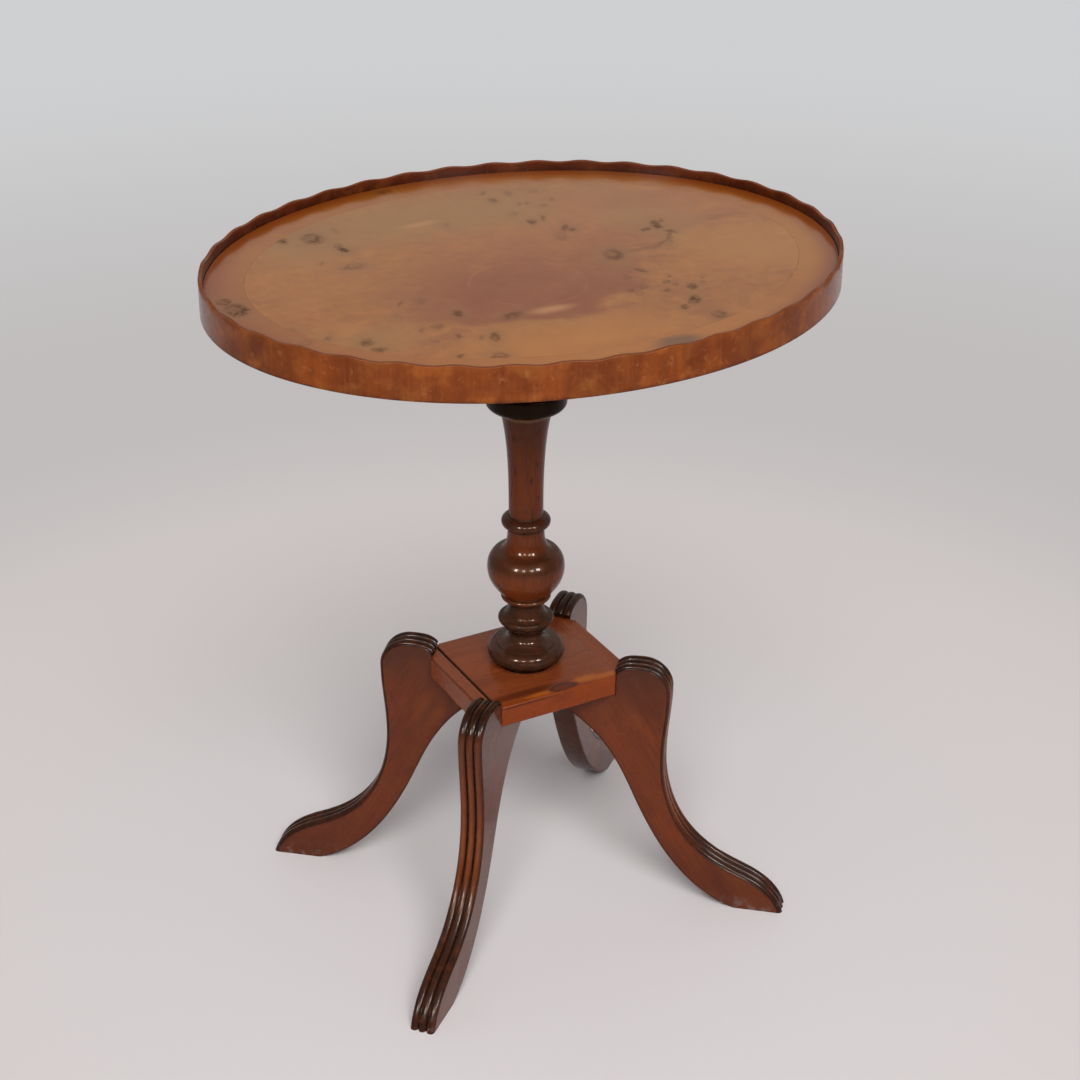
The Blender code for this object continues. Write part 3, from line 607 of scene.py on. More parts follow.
# Dowels
# A beech dowel glued between each leg and the platform's chamfered corner.
# It is sealed inside both pieces, in raw wood.
DOWEL_TONES = ((0.42, 0.26, 0.13), (0.52, 0.34, 0.18), (0.62, 0.43, 0.25))
DOWEL_SHADE = (0.25, 0.15, 0.08)
ALONG_X = (0.0, 0.0, 0.0)


def raw_wood(name, tones, shade, seed, turn=ALONG_X, roughness=0.6):
    """Unpolished wood for pieces that are hidden or seen only from below."""
    material, look = new_material(name)
    dress_wood(look, look.grain_place(turn), tones, seed, tones[2], shade, roughness)
    look.finish(0.25)
    return material


dowel_wood = raw_wood("dowel_wood", DOWEL_TONES, DOWEL_SHADE, 31.0)
for corner in LEG_TURNS:
    nodes[f"leg_dowel_{corner}"].material_slots[0].material = dowel_wood


# Leg screws
# A steel wood screw driven up through each leg's tongue into the platform.
# Its slotted head is sunk in a counterbore.
SCREW_HEAD_RADIUS = 0.0038
SCREW_SHANK_RADIUS = 0.0019
SCREW_RIM = 0.0002
SCREW_POINT = 0.004
SCREW_SIDES = 32
SLOT_WIDTH = 0.0010
SLOT_DEPTH = 0.0009
LEG_SCREW_LENGTH = 0.028
STEEL = (0.36, 0.33, 0.29)
RUST = (0.13, 0.060, 0.028)

screw_steel, look = new_material("dull_screw_steel")
tarnish = look.ranged(look.noise(look.where(), 420.0, 4.0, 2.0), 0.46, 0.66)
look.colour = STEEL
look.lay(RUST, tarnish)
look.wire(look.principled.inputs, {
    "Base Color": look.colour,
    "Roughness": look.ranged(tarnish, 0.0, 1.0, 0.34, 0.75),
    "Metallic": look.ranged(tarnish, 0.2, 0.9, 1.0, 0.1),
    "Normal": look.add("Bump", {"Strength": 0.2, "Distance": 0.0002, "Height": tarnish})[0],
})


def wood_screw(name, length, slot_turn):
    """A countersunk wood screw that points up, with a slot filed across its head."""
    neck = SCREW_HEAD_RADIUS - SCREW_SHANK_RADIUS
    profile = [(0, 0), (SCREW_HEAD_RADIUS - SCREW_RIM, 0), (SCREW_HEAD_RADIUS, SCREW_RIM),
               (SCREW_SHANK_RADIUS, neck), (SCREW_SHANK_RADIUS, length - SCREW_POINT), (0, length)]
    screw = build(name, spun(profile, SCREW_SIDES), screw_steel)
    bar = bmesh.new()
    bmesh.ops.create_cube(bar, size=1.0)
    bmesh.ops.scale(bar, vec=(3 * SCREW_HEAD_RADIUS, SLOT_WIDTH, 2 * SLOT_DEPTH), verts=bar.verts)
    slot = build("slot", bar, screw_steel)
    slot.rotation_euler.z = slot_turn
    carve(screw, slot)
    return screw


for count, corner in enumerate(LEG_TURNS):
    screw = wood_screw(f"leg_screw_{corner}_dressed", LEG_SCREW_LENGTH, 0.4 + 1.1 * count)
    low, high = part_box(f"leg_screw_{corner}")
    screw.location = ((low.x + high.x) / 2, (low.y + high.y) / 2, low.z)
    fit(screw, f"leg_screw_{corner}")


# Pillar
# One piece of mahogany turned on the lathe: cushion base, stepped cone and ring, bulb, bead, trumpet stem
# and collar, with a tenon at each end. The polish is dark in the quirks and rubbed on what stands proud.
pillar_low, pillar_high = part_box("pillar")
LOWER_TENON = 0.0125
UPPER_TENON = 0.0115
PILLAR_SIDES = 88
PROFILE_STEP = 0.0003
PROFILE_SOFTENING = 0.00022
PROFILE_TOLERANCE = 0.000018
BROAD_FORM = 0.0022
PROUD_HEIGHT = 0.0009
CONE_STEP = 0.0086 / 3
STRAIGHT, LEVEL_START, UPRIGHT_START = "straight", "level start", "upright start"
# The turner's cuts from the platform up: rise, first and last radius, form, and steps of a curve.
# A form is straight, a quarter of an oval that starts level or upright, or a curve's two ways and pull.
PILLAR_CUTS = (
    # Low foot, cushion and quirk
    (0.0040, 0.0212, 0.0212, STRAIGHT, 1),
    (0.0060, 0.0222, 0.0288, LEVEL_START, 10),
    (0.0065, 0.0288, 0.0245, UPRIGHT_START, 10),
    (0.0010, 0.0222, 0.0222, STRAIGHT, 1),
    # Cove, neck and a cone in three steps
    (0.0070, 0.0215, 0.0128, LEVEL_START, 12),
    (0.0018, 0.0128, 0.0128, STRAIGHT, 1),
    (CONE_STEP, 0.01280, 0.01447, STRAIGHT, 1),
    (CONE_STEP, 0.01517, 0.01684, STRAIGHT, 1),
    (CONE_STEP, 0.01754, 0.01921, STRAIGHT, 1),
    # Ring, scotia and the bead below the bulb
    (0.0024, 0.0192, 0.0208, LEVEL_START, 8),
    (0.0024, 0.0208, 0.0192, UPRIGHT_START, 8),
    (0.0086, 0.0185, 0.0137, LEVEL_START, 10),
    (0.0063, 0.0137, 0.0166, UPRIGHT_START, 10),
    (0.0018, 0.0170, 0.0187, LEVEL_START, 6),
    (0.0018, 0.0187, 0.0172, UPRIGHT_START, 6),
    # Bulb and its shoulder
    (0.0225, 0.0176, 0.0287, ((0.75, 0.9), UP, CURVE_PULL), 20),
    (0.0128, 0.0287, 0.0237, (UP, (-0.8, 0.75), CURVE_PULL), 16),
    (0.0008, 0.0237, 0.0208, STRAIGHT, 1),
    # Cove, bead and trumpet stem
    (0.0150, 0.0208, 0.0136, LEVEL_START, 14),
    (0.0044, 0.0136, 0.0136, STRAIGHT, 1),
    (0.0046, 0.0136, 0.0182, LEVEL_START, 10),
    (0.0046, 0.0182, 0.0127, UPRIGHT_START, 10),
    (0.0839, 0.0127, 0.0188, (UP, (0.25, 1), 0.30), 30),
    # Collar, and the plain neck above it
    (0.0014, 0.0195, 0.0195, STRAIGHT, 1),
    (0.0063, 0.0202, 0.0295, LEVEL_START, 10),
    (0.0070, 0.0295, 0.0295, STRAIGHT, 1),
    (0.0060, 0.0295, 0.0200, UPRIGHT_START, 10),
    (0.0549, 0.0160, 0.0225, (UP, (0.30, 1), CURVE_PULL), 20),
)


def quarter(start, end, steps, rises_first):
    """A quarter of an oval from start to end, setting out upwards or outwards."""
    start, end = Vector(start), Vector(end)
    span = end - start
    points = []
    for step in range(steps + 1):
        angle = step / steps * math.pi / 2
        slow, fast = 1 - math.cos(angle), math.sin(angle)
        shares = (slow, fast) if rises_first else (fast, slow)
        points.append(start + Vector((span.x * shares[0], span.y * shares[1])))
    return points


def pillar_profile():
    """Radius and height of the pillar's outside, from the platform up to the upper shoulder."""
    top = board_high.z + SEAT_GAP
    points = []
    for rise, first, last, form, steps in PILLAR_CUTS:
        low, top = top, top + rise
        if form == STRAIGHT:
            points += [(first, low), (last, top)]
        elif form in (LEVEL_START, UPRIGHT_START):
            points += quarter((first, low), (last, top), steps, form == UPRIGHT_START)
        else:
            points += curve((first, low), form[0], (last, top), form[1], steps, form[2])
    return points


def soften(points):
    """Rounds a turned profile's arrises a little and finds its hollows and proud places."""
    points = np.array([tuple(p) for p in points])
    run = np.concatenate(([0], np.cumsum(np.hypot(*np.diff(points, axis=0).T))))
    keep = np.concatenate(([True], np.diff(run) > 1e-9))
    points, run = points[keep], run[keep]
    even = np.arange(0, run[-1], PROFILE_STEP)
    line = np.stack([np.interp(even, run, points[:, axis]) for axis in (0, 1)], 1)

    def blurred(width):
        reach = int(4 * width / PROFILE_STEP)
        weights = np.exp(-0.5 * (np.arange(-reach, reach + 1) * PROFILE_STEP / width) ** 2)
        weights /= weights.sum()
        padded = np.pad(line, ((reach, reach), (0, 0)), mode="edge")
        return np.stack([np.convolve(padded[:, axis], weights, mode="valid") for axis in (0, 1)], 1)

    soft = blurred(PROFILE_SOFTENING)
    soft[0], soft[-1] = line[0], line[-1]
    broad = blurred(BROAD_FORM)
    along = np.gradient(broad, axis=0)
    along /= np.hypot(along[:, 0], along[:, 1])[:, None]
    outward = np.stack([along[:, 1], -along[:, 0]], 1)
    proud = ((soft - broad) * outward).sum(1) / PROUD_HEIGHT
    # Points that a straight run between their neighbours would pass are dropped
    kept = [0]
    for index in range(1, len(soft) - 1):
        chord = soft[index + 1] - soft[kept[-1]]
        between = soft[kept[-1]:index + 1] - soft[kept[-1]]
        off = np.abs(between[:, 0] * chord[1] - between[:, 1] * chord[0]) / max(np.hypot(*chord), 1e-9)
        if off.max() > PROFILE_TOLERANCE:
            kept.append(index)
    kept.append(len(soft) - 1)
    return soft[kept], np.clip(proud[kept], 0, 1), np.clip(-proud[kept], 0, 1)


# Height above the floor, and how far the old wax tone is laid there, mostly as painted shade
# Painted contact shadow at the foot, painted shade on the stem under the top, and darker bands on the base,
# ring, bulb shoulder and bead painted for their dark reflections
WAXED_AND_SHADED = (
    (0.199, 1.0), (0.2045, 1.0), (0.207, 0.85), (0.225, 0.82), (0.235, 0.92), (0.252, 0.88), (0.257, 0.50),
    (0.263, 0.08), (0.280, 0.10), (0.2865, 0.70), (0.2935, 0.62), (0.299, 0.15), (0.309, 0.10),
    (0.3135, 0.75), (0.3210, 0.75), (0.325, 0.05), (0.360, 0.0), (0.385, 0.25), (0.4055, 0.45),
    (0.4059, 0.0),
)
outside, proud, hollow = soften(pillar_profile())
waxed_and_shaded = np.interp(outside[:, 1], *zip(*WAXED_AND_SHADED))
lower_end = [(0, pillar_low.z), (LOWER_TENON, pillar_low.z), (LOWER_TENON, outside[0, 1])]
upper_end = [(UPPER_TENON, outside[-1, 1]), (UPPER_TENON, pillar_high.z), (0, pillar_high.z)]
clean_end = [0.0] * len(lower_end)
masks = (("worn", clean_end + list(proud) + clean_end),
         ("grime_and_shade", clean_end + list(np.maximum(hollow, waxed_and_shaded)) + clean_end))

PILLAR_TONES = ((0.072, 0.0152, 0.0042), (0.136, 0.0258, 0.0055), (0.184, 0.0384, 0.0077))
PILLAR_RUBBED = (0.145, 0.034, 0.0100)
PILLAR_WAX_AND_SHADE = (0.0200, 0.0122, 0.0080)
PILLAR_SHEEN = (1.0, 0.60, 0.38, 1.0)
# Near black, for the stem's flecks and for painted shade on the collar and painted shadow at the foot
FLECK_AND_SHADE_TONE = (0.0095, 0.0033, 0.0010)
COLLAR_FOOT = 0.4098
FILLET_TONE = (0.150, 0.078, 0.042)
FILLET_MIDDLE = 0.4058
GRAIN_UPRIGHT = (0.0, math.pi / 2, 0.0)
FLECK_SCALES = (300.0, 300.0, 55.0)
FLECKED_FROM = (0.318, 0.326)
FOOT_TOP = 0.2032
RING_ZONE = ((0.2345, 0.2365), (0.2525, 0.2545))

pillar_wood, look = new_material("pillar_mahogany")
dress_wood(look, look.grain_place(GRAIN_UPRIGHT), PILLAR_TONES, 41.0, PILLAR_RUBBED, PILLAR_WAX_AND_SHADE, 0.20)
where = look.where()
height = look.axes(where)["Z"]
flecks = look.ranged(look.noise(where, FLECK_SCALES, 1.0, 44.0), 0.64, 0.72, 0.0, 0.75)
look.lay(FLECK_AND_SHADE_TONE, flecks, look.ranged(height, *FLECKED_FROM))
fillet = look.ranged(look.off(height, FILLET_MIDDLE), 0.0014, 0.0034, 0.75, 0.0)
look.lay(FILLET_TONE, fillet)
# Painted shade: the collar laid near black under the top, and the foot just above the platform as painted
# contact shadow
collar = look.ranged(height, COLLAR_FOOT, COLLAR_FOOT + 0.001)
foot = look.ranged(height, FOOT_TOP, FOOT_TOP + 0.002, 1.0, 0.0)
unlit = look.number("MAXIMUM", collar, foot)
look.lay(FLECK_AND_SHADE_TONE, unlit)
ringed = look.times(look.ranged(height, *RING_ZONE[0]), look.ranged(height, *RING_ZONE[1], 1.0, 0.0))
dull = look.number("MAXIMUM", unlit, ringed)
look.finish(0.08, look.ranged(dull, 0.0, 1.0, 0.18, 0.02), 0.06)
look.wire(look.principled.inputs, {"Specular Tint": PILLAR_SHEEN})
profile = lower_end + [tuple(p) for p in outside] + upper_end
pillar = build("pillar_dressed", spun(profile, PILLAR_SIDES, masks), pillar_wood)
fit(pillar, "pillar")


# Tenon wedge
# A beech wedge driven into the saw cut of the pillar's lower tenon, which spreads it in the mortise.
# It is trimmed flush with the platform's underside.
wedge_wood = raw_wood("wedge_beech", DOWEL_TONES, DOWEL_SHADE, 35.0, GRAIN_UPRIGHT)
nodes["tenon_wedge"].material_slots[0].material = wedge_wood


# Top block
# A round beech block under the top, turned, stained brown and bored for the pillar's upper tenon.
# Four steel screws go up through it into the board.
block_low, block_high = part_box("top_block")
BLOCK_ROUNDING = 0.006
BLOCK_SIDES = 96
BLOCK_SCREWS = 4
BLOCK_SCREW_INSET = 0.014
SINK_DEPTH = 0.001
BLOCK_TONES = ((0.105, 0.048, 0.022), (0.150, 0.070, 0.032), (0.19, 0.095, 0.045))
BLOCK_SHADE = (0.035, 0.018, 0.010)

block_wood = raw_wood("stained_block_beech", BLOCK_TONES, BLOCK_SHADE, 51.0, roughness=0.48)
block_radius = block_high.x
bore_radius = UPPER_TENON + SEAT_GAP
profile = [(bore_radius, block_high.z), (bore_radius, block_low.z)]
rounded_to = (block_radius, block_low.z + BLOCK_ROUNDING)
profile += quarter((block_radius - BLOCK_ROUNDING, block_low.z), rounded_to, 8, False)
profile += [(block_radius, block_high.z), (bore_radius, block_high.z)]
bm = spun(profile, BLOCK_SIDES)
bmesh.ops.remove_doubles(bm, verts=bm.verts, dist=ON_AXIS)
block = build("top_block_dressed", bm, block_wood)

low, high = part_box("block_screw_1")
screw_length = high.z - low.z
head_hole, shank_hole = SCREW_HEAD_RADIUS + SEAT_GAP, SCREW_SHANK_RADIUS + SEAT_GAP
sink_foot = -2 * SEAT_GAP - SINK_DEPTH
sink = [(0, sink_foot), (head_hole, sink_foot), (head_hole, SEAT_GAP),
        (shank_hole, SCREW_HEAD_RADIUS - SCREW_SHANK_RADIUS + SEAT_GAP),
        (shank_hole, screw_length), (0, screw_length)]
sinks = []
for count in range(BLOCK_SCREWS):
    angle = 2 * math.pi * (count + 0.5) / BLOCK_SCREWS
    reach = block_radius - BLOCK_SCREW_INSET
    cutter = build("sink", spun(sink, SCREW_SIDES), block_wood)
    screw = wood_screw(f"block_screw_{count + 1}_dressed", screw_length, 0.9 + 0.8 * count)
    for item in (cutter, screw):
        item.location = (reach * math.cos(angle), reach * math.sin(angle), low.z)
    sinks.append(cutter)
    fit(screw, f"block_screw_{count + 1}")
carve(block, *sinks)
fit(block, "top_block")


# Top board and backing veneer
# The board that carries the veneers is sealed inside them.
# The balancing veneer glued below it is stained and dull.
BOARD_TONES = ((0.34, 0.22, 0.12), (0.44, 0.31, 0.18), (0.52, 0.39, 0.25))
BOARD_SHADE = (0.20, 0.13, 0.07)
BACKING_TONES = ((0.085, 0.036, 0.016), (0.125, 0.056, 0.025), (0.165, 0.080, 0.037))
BACKING_SHADE = (0.030, 0.015, 0.008)
nodes["top_board"].material_slots[0].material = raw_wood("board_core", BOARD_TONES, BOARD_SHADE, 61.0)
nodes["top_backing_veneer"].material_slots[0].material = raw_wood(
    "stained_backing", BACKING_TONES, BACKING_SHADE, 63.0, roughness=0.5)


# Field veneer
# The middle of the top is one leaf of pippy yew, grain along the oval, under a hard old polish.
# It has scattered pips and knots, a dark reddish cloud with a ring mark, and a few pale streaks painted as
# glints of light on the polish.
field_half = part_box("top_field_veneer")[1]
rim_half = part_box("gallery_facing")[1]
top_face = field_half.z
VENEER = 0.0007
VENEER_ARRIS = 0.00008
TOP_POLISH = 0.58
TOP_POLISH_BLUR = 0.16
TOP_SHEEN = 0.06
OVAL_SIDES = 228
OVAL_FINENESS = 4001
veneer_foot = top_face - VENEER


def oval(inset, sides):
    """Points spaced evenly along the top's outline, moved in square to it."""
    fine = np.linspace(0, 2 * math.pi, OVAL_FINENESS)
    run = np.hypot(np.diff(rim_half.x * np.cos(fine)), np.diff(rim_half.y * np.sin(fine)))
    run = np.concatenate(([0.0], np.cumsum(run)))
    points = []
    for angle in np.interp(np.arange(sides) / sides * run[-1], run, fine):
        inward = -Vector((math.cos(angle) / rim_half.x, math.sin(angle) / rim_half.y)).normalized()
        points.append(Vector((rim_half.x * math.cos(angle), rim_half.y * math.sin(angle))) + inward * inset)
    return points


def oval_loops(section, sides, closed):
    """A bmesh lofted round the oval from a section of insets and heights, with its masks."""
    bm = bmesh.new()
    worn = bm.verts.layers.float.new("worn")
    grime_and_shade = bm.verts.layers.float.new("grime_and_shade")
    loops = []
    for inset, heights, rubbed, waxed in section:
        if not isinstance(heights, list):
            heights = [heights] * sides
        loop = []
        for point, z in zip(oval(inset, sides), heights):
            vert = bm.verts.new((point.x, point.y, z))
            vert[worn], vert[grime_and_shade] = rubbed, waxed
            loop.append(vert)
        loops.append(loop)
    if closed:
        loops.append(loops[0])
    else:
        bm.faces.new(loops[0])
        bm.faces.new(loops[-1])
    for first, second in zip(loops, loops[1:]):
        bridge(bm, first, second)
    return bm


FIELD_TONES = ((0.296, 0.0955, 0.0131), (0.322, 0.1075, 0.0152), (0.358, 0.1255, 0.0190))
FIELD_PORES = (0.15, 0.045, 0.014)
FIELD_GRAIN = (0.0, 0.0, math.radians(5.5))
OLIVE_TONE = (0.275, 0.118, 0.027)
ROSE_TONE = (0.312, 0.090, 0.020)
GOLD_TONE = (0.372, 0.128, 0.0165)
CLOUD_TONE = (0.188, 0.037, 0.0045)
SMEAR_TONE = (0.225, 0.060, 0.0115)
HONEY_TONE = (0.385, 0.158, 0.0270)
PALE_MARK_AND_GLINT_TONE = (0.66, 0.31, 0.120)
HALO_TONE = (0.215, 0.076, 0.0140)
PIP_TONE = (0.062, 0.021, 0.0066)
HALO_SHARE = 0.6

# Pips and knots, in mm and degrees: along, across, length, width, turn, depth, whether hollow
KNOTS = (
    (-112, 111, 19, 13, 80, 0.85, 1), (-133, 117, 11, 7, 95, 0.75, 0), (-102, 80, 10, 6, 95, 0.95, 0),
    (-102, 90, 8, 6, 90, 0.55, 1), (-91, 118, 14, 4, 85, 0.25, 0), (-126, 63, 6, 3, 60, 0.4, 0),
    (-109, 47, 17, 10, 10, 0.5, 1), (-192, -38, 9, 6, 90, 0.3, 0), (-177, -63, 8, 4, 60, 0.45, 0),
    (-158, -80, 11, 8, 60, 0.65, 0), (-157, -95, 10, 8, 60, 0.65, 0), (-111, -30, 7, 3, 50, 0.45, 0),
    (-98, -33, 10, 7, 60, 0.4, 1), (-121, -48, 4, 3, 60, 0.4, 0), (-85, -63, 13, 6, 75, 0.7, 0),
    (-118, -77, 8, 4, 70, 0.4, 0), (-107, -77, 9, 7, 60, 0.5, 1), (-102, -98, 8, 4, 70, 0.55, 0),
    (-119, -98, 5, 4, 0, 0.3, 0), (-82, -110, 14, 6, 65, 0.75, 0), (-90, -107, 6, 3, 65, 0.45, 0),
    (-116, -127, 6, 4, 60, 0.6, 0), (-94, -139, 11, 10, 50, 0.7, 1), (-105, -142, 5, 4, 60, 0.45, 0),
    (-55, -83, 16, 9, 20, 0.6, 0), (39, 142, 8, 4, 65, 0.4, 0), (39, 123, 9, 6, 75, 0.55, 0),
    (56, 132, 12, 5, 75, 0.4, 0), (76, 128, 8, 6, 70, 0.25, 0), (67, 97, 6, 5, 60, 0.4, 0),
    (78, 105, 8, 3, 65, 0.4, 0), (52, 108, 5, 3, 60, 0.35, 0), (58, 106, 5, 4, 60, 0.35, 0),
    (42, 69, 10, 6, 65, 0.7, 0), (53, 73, 11, 3, 65, 0.55, 0), (38, 90, 10, 7, 70, 0.3, 1),
    (57, 47, 13, 5, 60, 0.7, 0), (60, 41, 7, 5, 60, 0.6, 0), (46, 33, 16, 8, 65, 0.35, 1),
    (118, 22, 16, 6, 70, 0.8, 0), (124, 27, 9, 3, 45, 0.6, 0), (107, 17, 9, 4, 15, 0.65, 0),
    (120, 6, 9, 5, -50, 0.65, 0), (113, -4, 22, 4, 62, 0.5, 0), (101, -13, 20, 4, 28, 0.4, 0),
    (83, -16, 24, 5, 2, 0.3, 0), (60, -17, 19, 13, 65, 0.75, 1), (61, -51, 10, 5, 105, 0.6, 0),
    (46, -59, 7, 5, 60, 0.35, 0), (73, -70, 6, 4, 60, 0.45, 0), (65, -78, 5, 5, 60, 0.55, 0),
    (46, -80, 8, 6, 50, 0.55, 1), (36, -81, 6, 4, 60, 0.5, 0), (68, -85, 6, 4, 60, 0.45, 0),
    (38, -88, 7, 5, 60, 0.4, 1), (58, -92, 8, 4, 65, 0.55, 0), (76, -94, 10, 6, 65, 0.85, 0),
    (91, -83, 5, 3, 60, 0.35, 0), (87, -90, 6, 4, 60, 0.3, 0), (65, -115, 14, 6, 60, 0.85, 0),
    (52, -123, 9, 5, 60, 0.65, 0), (59, -117, 5, 3, 60, 0.45, 0), (65, -145, 12, 9, 65, 0.65, 1),
    (72, -152, 7, 4, 60, 0.35, 0), (-15, 92, 8, 5, 70, 0.3, 0), (175, 15, 42, 10, -4, 0.2, 0),
)
# Broad patches of other colour in millimetres: tone, along, across, length, width and strength
PATCHES = (
    (OLIVE_TONE, -45, 118, 200, 90, 0.8), (OLIVE_TONE, 45, 100, 130, 90, 0.6),
    (OLIVE_TONE, 122, 50, 60, 100, 0.8), (OLIVE_TONE, -125, 95, 60, 80, 0.5),
    (OLIVE_TONE, -152, -78, 60, 36, 0.6), (ROSE_TONE, 165, 60, 80, 70, 0.4),
    (ROSE_TONE, 92, 92, 60, 50, 0.5), (ROSE_TONE, 150, -60, 110, 50, 0.3),
    (ROSE_TONE, 20, 35, 110, 70, 0.5), (GOLD_TONE, -130, 15, 110, 110, 0.2),
    (GOLD_TONE, -48, -140, 130, 60, 0.8), (SMEAR_TONE, 75, -112, 110, 50, 0.20),
    (HONEY_TONE, 158, -45, 90, 80, 0.5), (SMEAR_TONE, 95, 20, 70, 30, 0.35),
    (SMEAR_TONE, 130, 75, 60, 26, 0.30),
)
PATCH_SOFTNESS = 0.8
PATCH_UNEVENNESS = 0.7
CLOUD_PLACE = (-0.027, -0.042, 0.0)
CLOUD_SIZE = (0.086, 0.058, 1.0)
RING_MARK = (-0.0185, -0.0365, 0.0)
RING_RADIUS = 0.040
# Pale streaks painted as glints of light on the polish: middle, half lengths, turn and strength
GLINT_STREAKS = (((-0.0265, -0.0850, 0.0), (0.0130, 0.0050, 1.0), math.radians(-3), 0.38),
           ((-0.032, 0.1025, 0.0), (0.0120, 0.0035, 1.0), math.radians(4), 0.22))
LEVEL = (1.0, 1.0, 0.0)
DRIFT = (0.78, 1.0, 0.0)

# A knot is an uneven dark oval, some with a paler heart, in a greyish halo
HEART_MIDDLE = (0.16, 0.20, 0.0)
KNOT_SIZE = 1 / 1700
KNOT_RAGGED = (0.0060, 0.0060, 0.0)
knot_group, look, taken, given = new_group(
    "yew_knot", {"Place": "Vector", "Centre": "Vector", "Size": "Vector", "Turn": "Float", "Depth": "Float",
                 "Hollow": "Float"}, ("Dark", "Halo"))
away = look.vector("SUBTRACT", taken["Place"], taken["Centre"])
away = look.add("VectorRotate", {"Vector": away, "Angle": taken["Turn"]}, rotation_type="Z_AXIS")[0]
away = look.vector("DIVIDE", away, taken["Size"])
reach = look.distance(away)
heart = look.ranged(look.distance(away, HEART_MIDDLE), 0.20, 0.75, 0.55, 0.0)
heart = look.times(heart, taken["Hollow"])
dark = look.number("SUBTRACT", look.ranged(reach, 0.45, 1.36, 1.0, 0.0), heart)
look.wire(given, {"Dark": look.times(dark, taken["Depth"]),
                  "Halo": look.times(look.ranged(reach, 0.7, 3.6, 1.0, 0.0), taken["Depth"])})


def lay_knots(look, flat, places):
    """Lays knots over the colour, their outlines broken up, and returns how dark they are."""
    warp = look.add("TexNoise", {"Vector": flat, "Scale": 170.0, "Detail": 2.0})["Color"]
    warp = look.vector("MULTIPLY", look.vector("SUBTRACT", warp, (0.5, 0.5, 0.5)), KNOT_RAGGED)
    ragged = look.vector("ADD", flat, warp)
    dark, halo = 0.0, 0.0
    for x, y, length, width, turn, depth, hollow in places:
        inputs = {"Place": ragged, "Centre": (x / 1000, y / 1000, 0.0),
                  "Size": (length * KNOT_SIZE, width * KNOT_SIZE, 1.0),
                  "Turn": math.radians(-turn), "Depth": depth, "Hollow": hollow}
        knot = look.add("Group", inputs, node_tree=knot_group)
        dark = look.number("MAXIMUM", dark, knot["Dark"])
        halo = look.number("MAXIMUM", halo, knot["Halo"])
    dark = look.times(dark, look.ranged(look.noise(flat, 330.0, 2.0), 0.34, 0.58, 0.35, 1.0))
    look.lay(HALO_TONE, halo, HALO_SHARE)
    look.lay(PIP_TONE, dark)
    return dark


field_wood, look = new_material("pippy_yew")
place = look.grain_place(FIELD_GRAIN)
dress_wood(look, place, FIELD_TONES, 71.0, FIELD_TONES[2], FIELD_PORES, 0.16, 0.2, 0.3)
flat = look.vector("MULTIPLY", look.where(), LEVEL)
drift = look.vector("MULTIPLY", place, DRIFT)
# Mottling: tone, place, scale, detail, seed, distortion, the range of noise that shows, and strength
for tone, spread, scale, detail, seed, distortion, low, high, strength in (
    (OLIVE_TONE, drift, 17.0, 3.0, 5.0, 0.6, 0.50, 0.72, 0.5),
    (ROSE_TONE, drift, 26.0, 3.0, 9.0, 0.8, 0.50, 0.72, 0.6),
    (SMEAR_TONE, drift, 44.0, 5.0, 15.0, 1.2, 0.44, 0.72, 0.6),
    (SMEAR_TONE, flat, 150.0, 4.0, 17.0, 0.6, 0.38, 0.66, 0.34),
    (GOLD_TONE, drift, 52.0, 4.0, 23.0, 1.0, 0.50, 0.70, 0.6),
):
    mottle = look.noise(spread, scale, detail, seed, distortion)
    look.lay(tone, look.ranged(mottle, low, high, 0.0, strength))
for tone, x, y, length, width, strength in PATCHES:
    middle, size = (x / 1000, y / 1000, 0.0), (length / 2000, width / 2000, 1.0)
    look.lay(tone, look.oval_mark(flat, middle, size, PATCH_SOFTNESS, PATCH_UNEVENNESS), strength)

# The cloud fades away behind and stops short in front
away = look.vector("DIVIDE", look.vector("SUBTRACT", flat, CLOUD_PLACE), CLOUD_SIZE)
uneven = look.ranged(look.noise(flat, 22.0, 3.0, 3.0), 0.0, 1.0, -0.26, 0.26)
reach = look.number("ADD", look.distance(away), uneven)
soft = look.ranged(look.axes(away)["Y"], -0.7, 0.4, 0.10, 0.85)
cloud = look.ranged(reach, look.number("SUBTRACT", 1.0, soft), look.number("ADD", 1.0, soft), 0.95, 0.0)
patchy = look.ranged(look.noise(flat, 34.0, 3.0, 8.0), 0.30, 0.70, 0.75, 1.0)
look.lay(CLOUD_TONE, cloud, patchy)
ring = look.ranged(look.off(look.distance(flat, RING_MARK), RING_RADIUS), 0.0, 0.0018, 0.06, 0.0)
broken = look.ranged(look.noise(flat, 40.0, 2.0, 6.0), 0.42, 0.6)
look.lay(PALE_MARK_AND_GLINT_TONE, ring, broken)
dark = lay_knots(look, flat, KNOTS)
# Painted glints: pale streaks laid on the polish
for middle, size, turn, strength in GLINT_STREAKS:
    look.lay(PALE_MARK_AND_GLINT_TONE, look.oval_mark(flat, middle, size, 0.8, 0.4, turn), strength)
look.finish(TOP_SHEEN, look.ranged(dark, 0.0, 0.9, TOP_POLISH, 0.05), TOP_POLISH_BLUR)

field_inset = rim_half.x - field_half.x
leaf = [(field_inset + VENEER_ARRIS, veneer_foot, 0, 0), (field_inset, veneer_foot + VENEER_ARRIS, 0, 0),
        (field_inset, top_face - VENEER_ARRIS, 0, 0), (field_inset + VENEER_ARRIS, top_face, 0, 0)]
field = build("top_field_veneer_dressed", oval_loops(leaf, OVAL_SIDES, False), field_wood)
fit(field, "top_field_veneer")


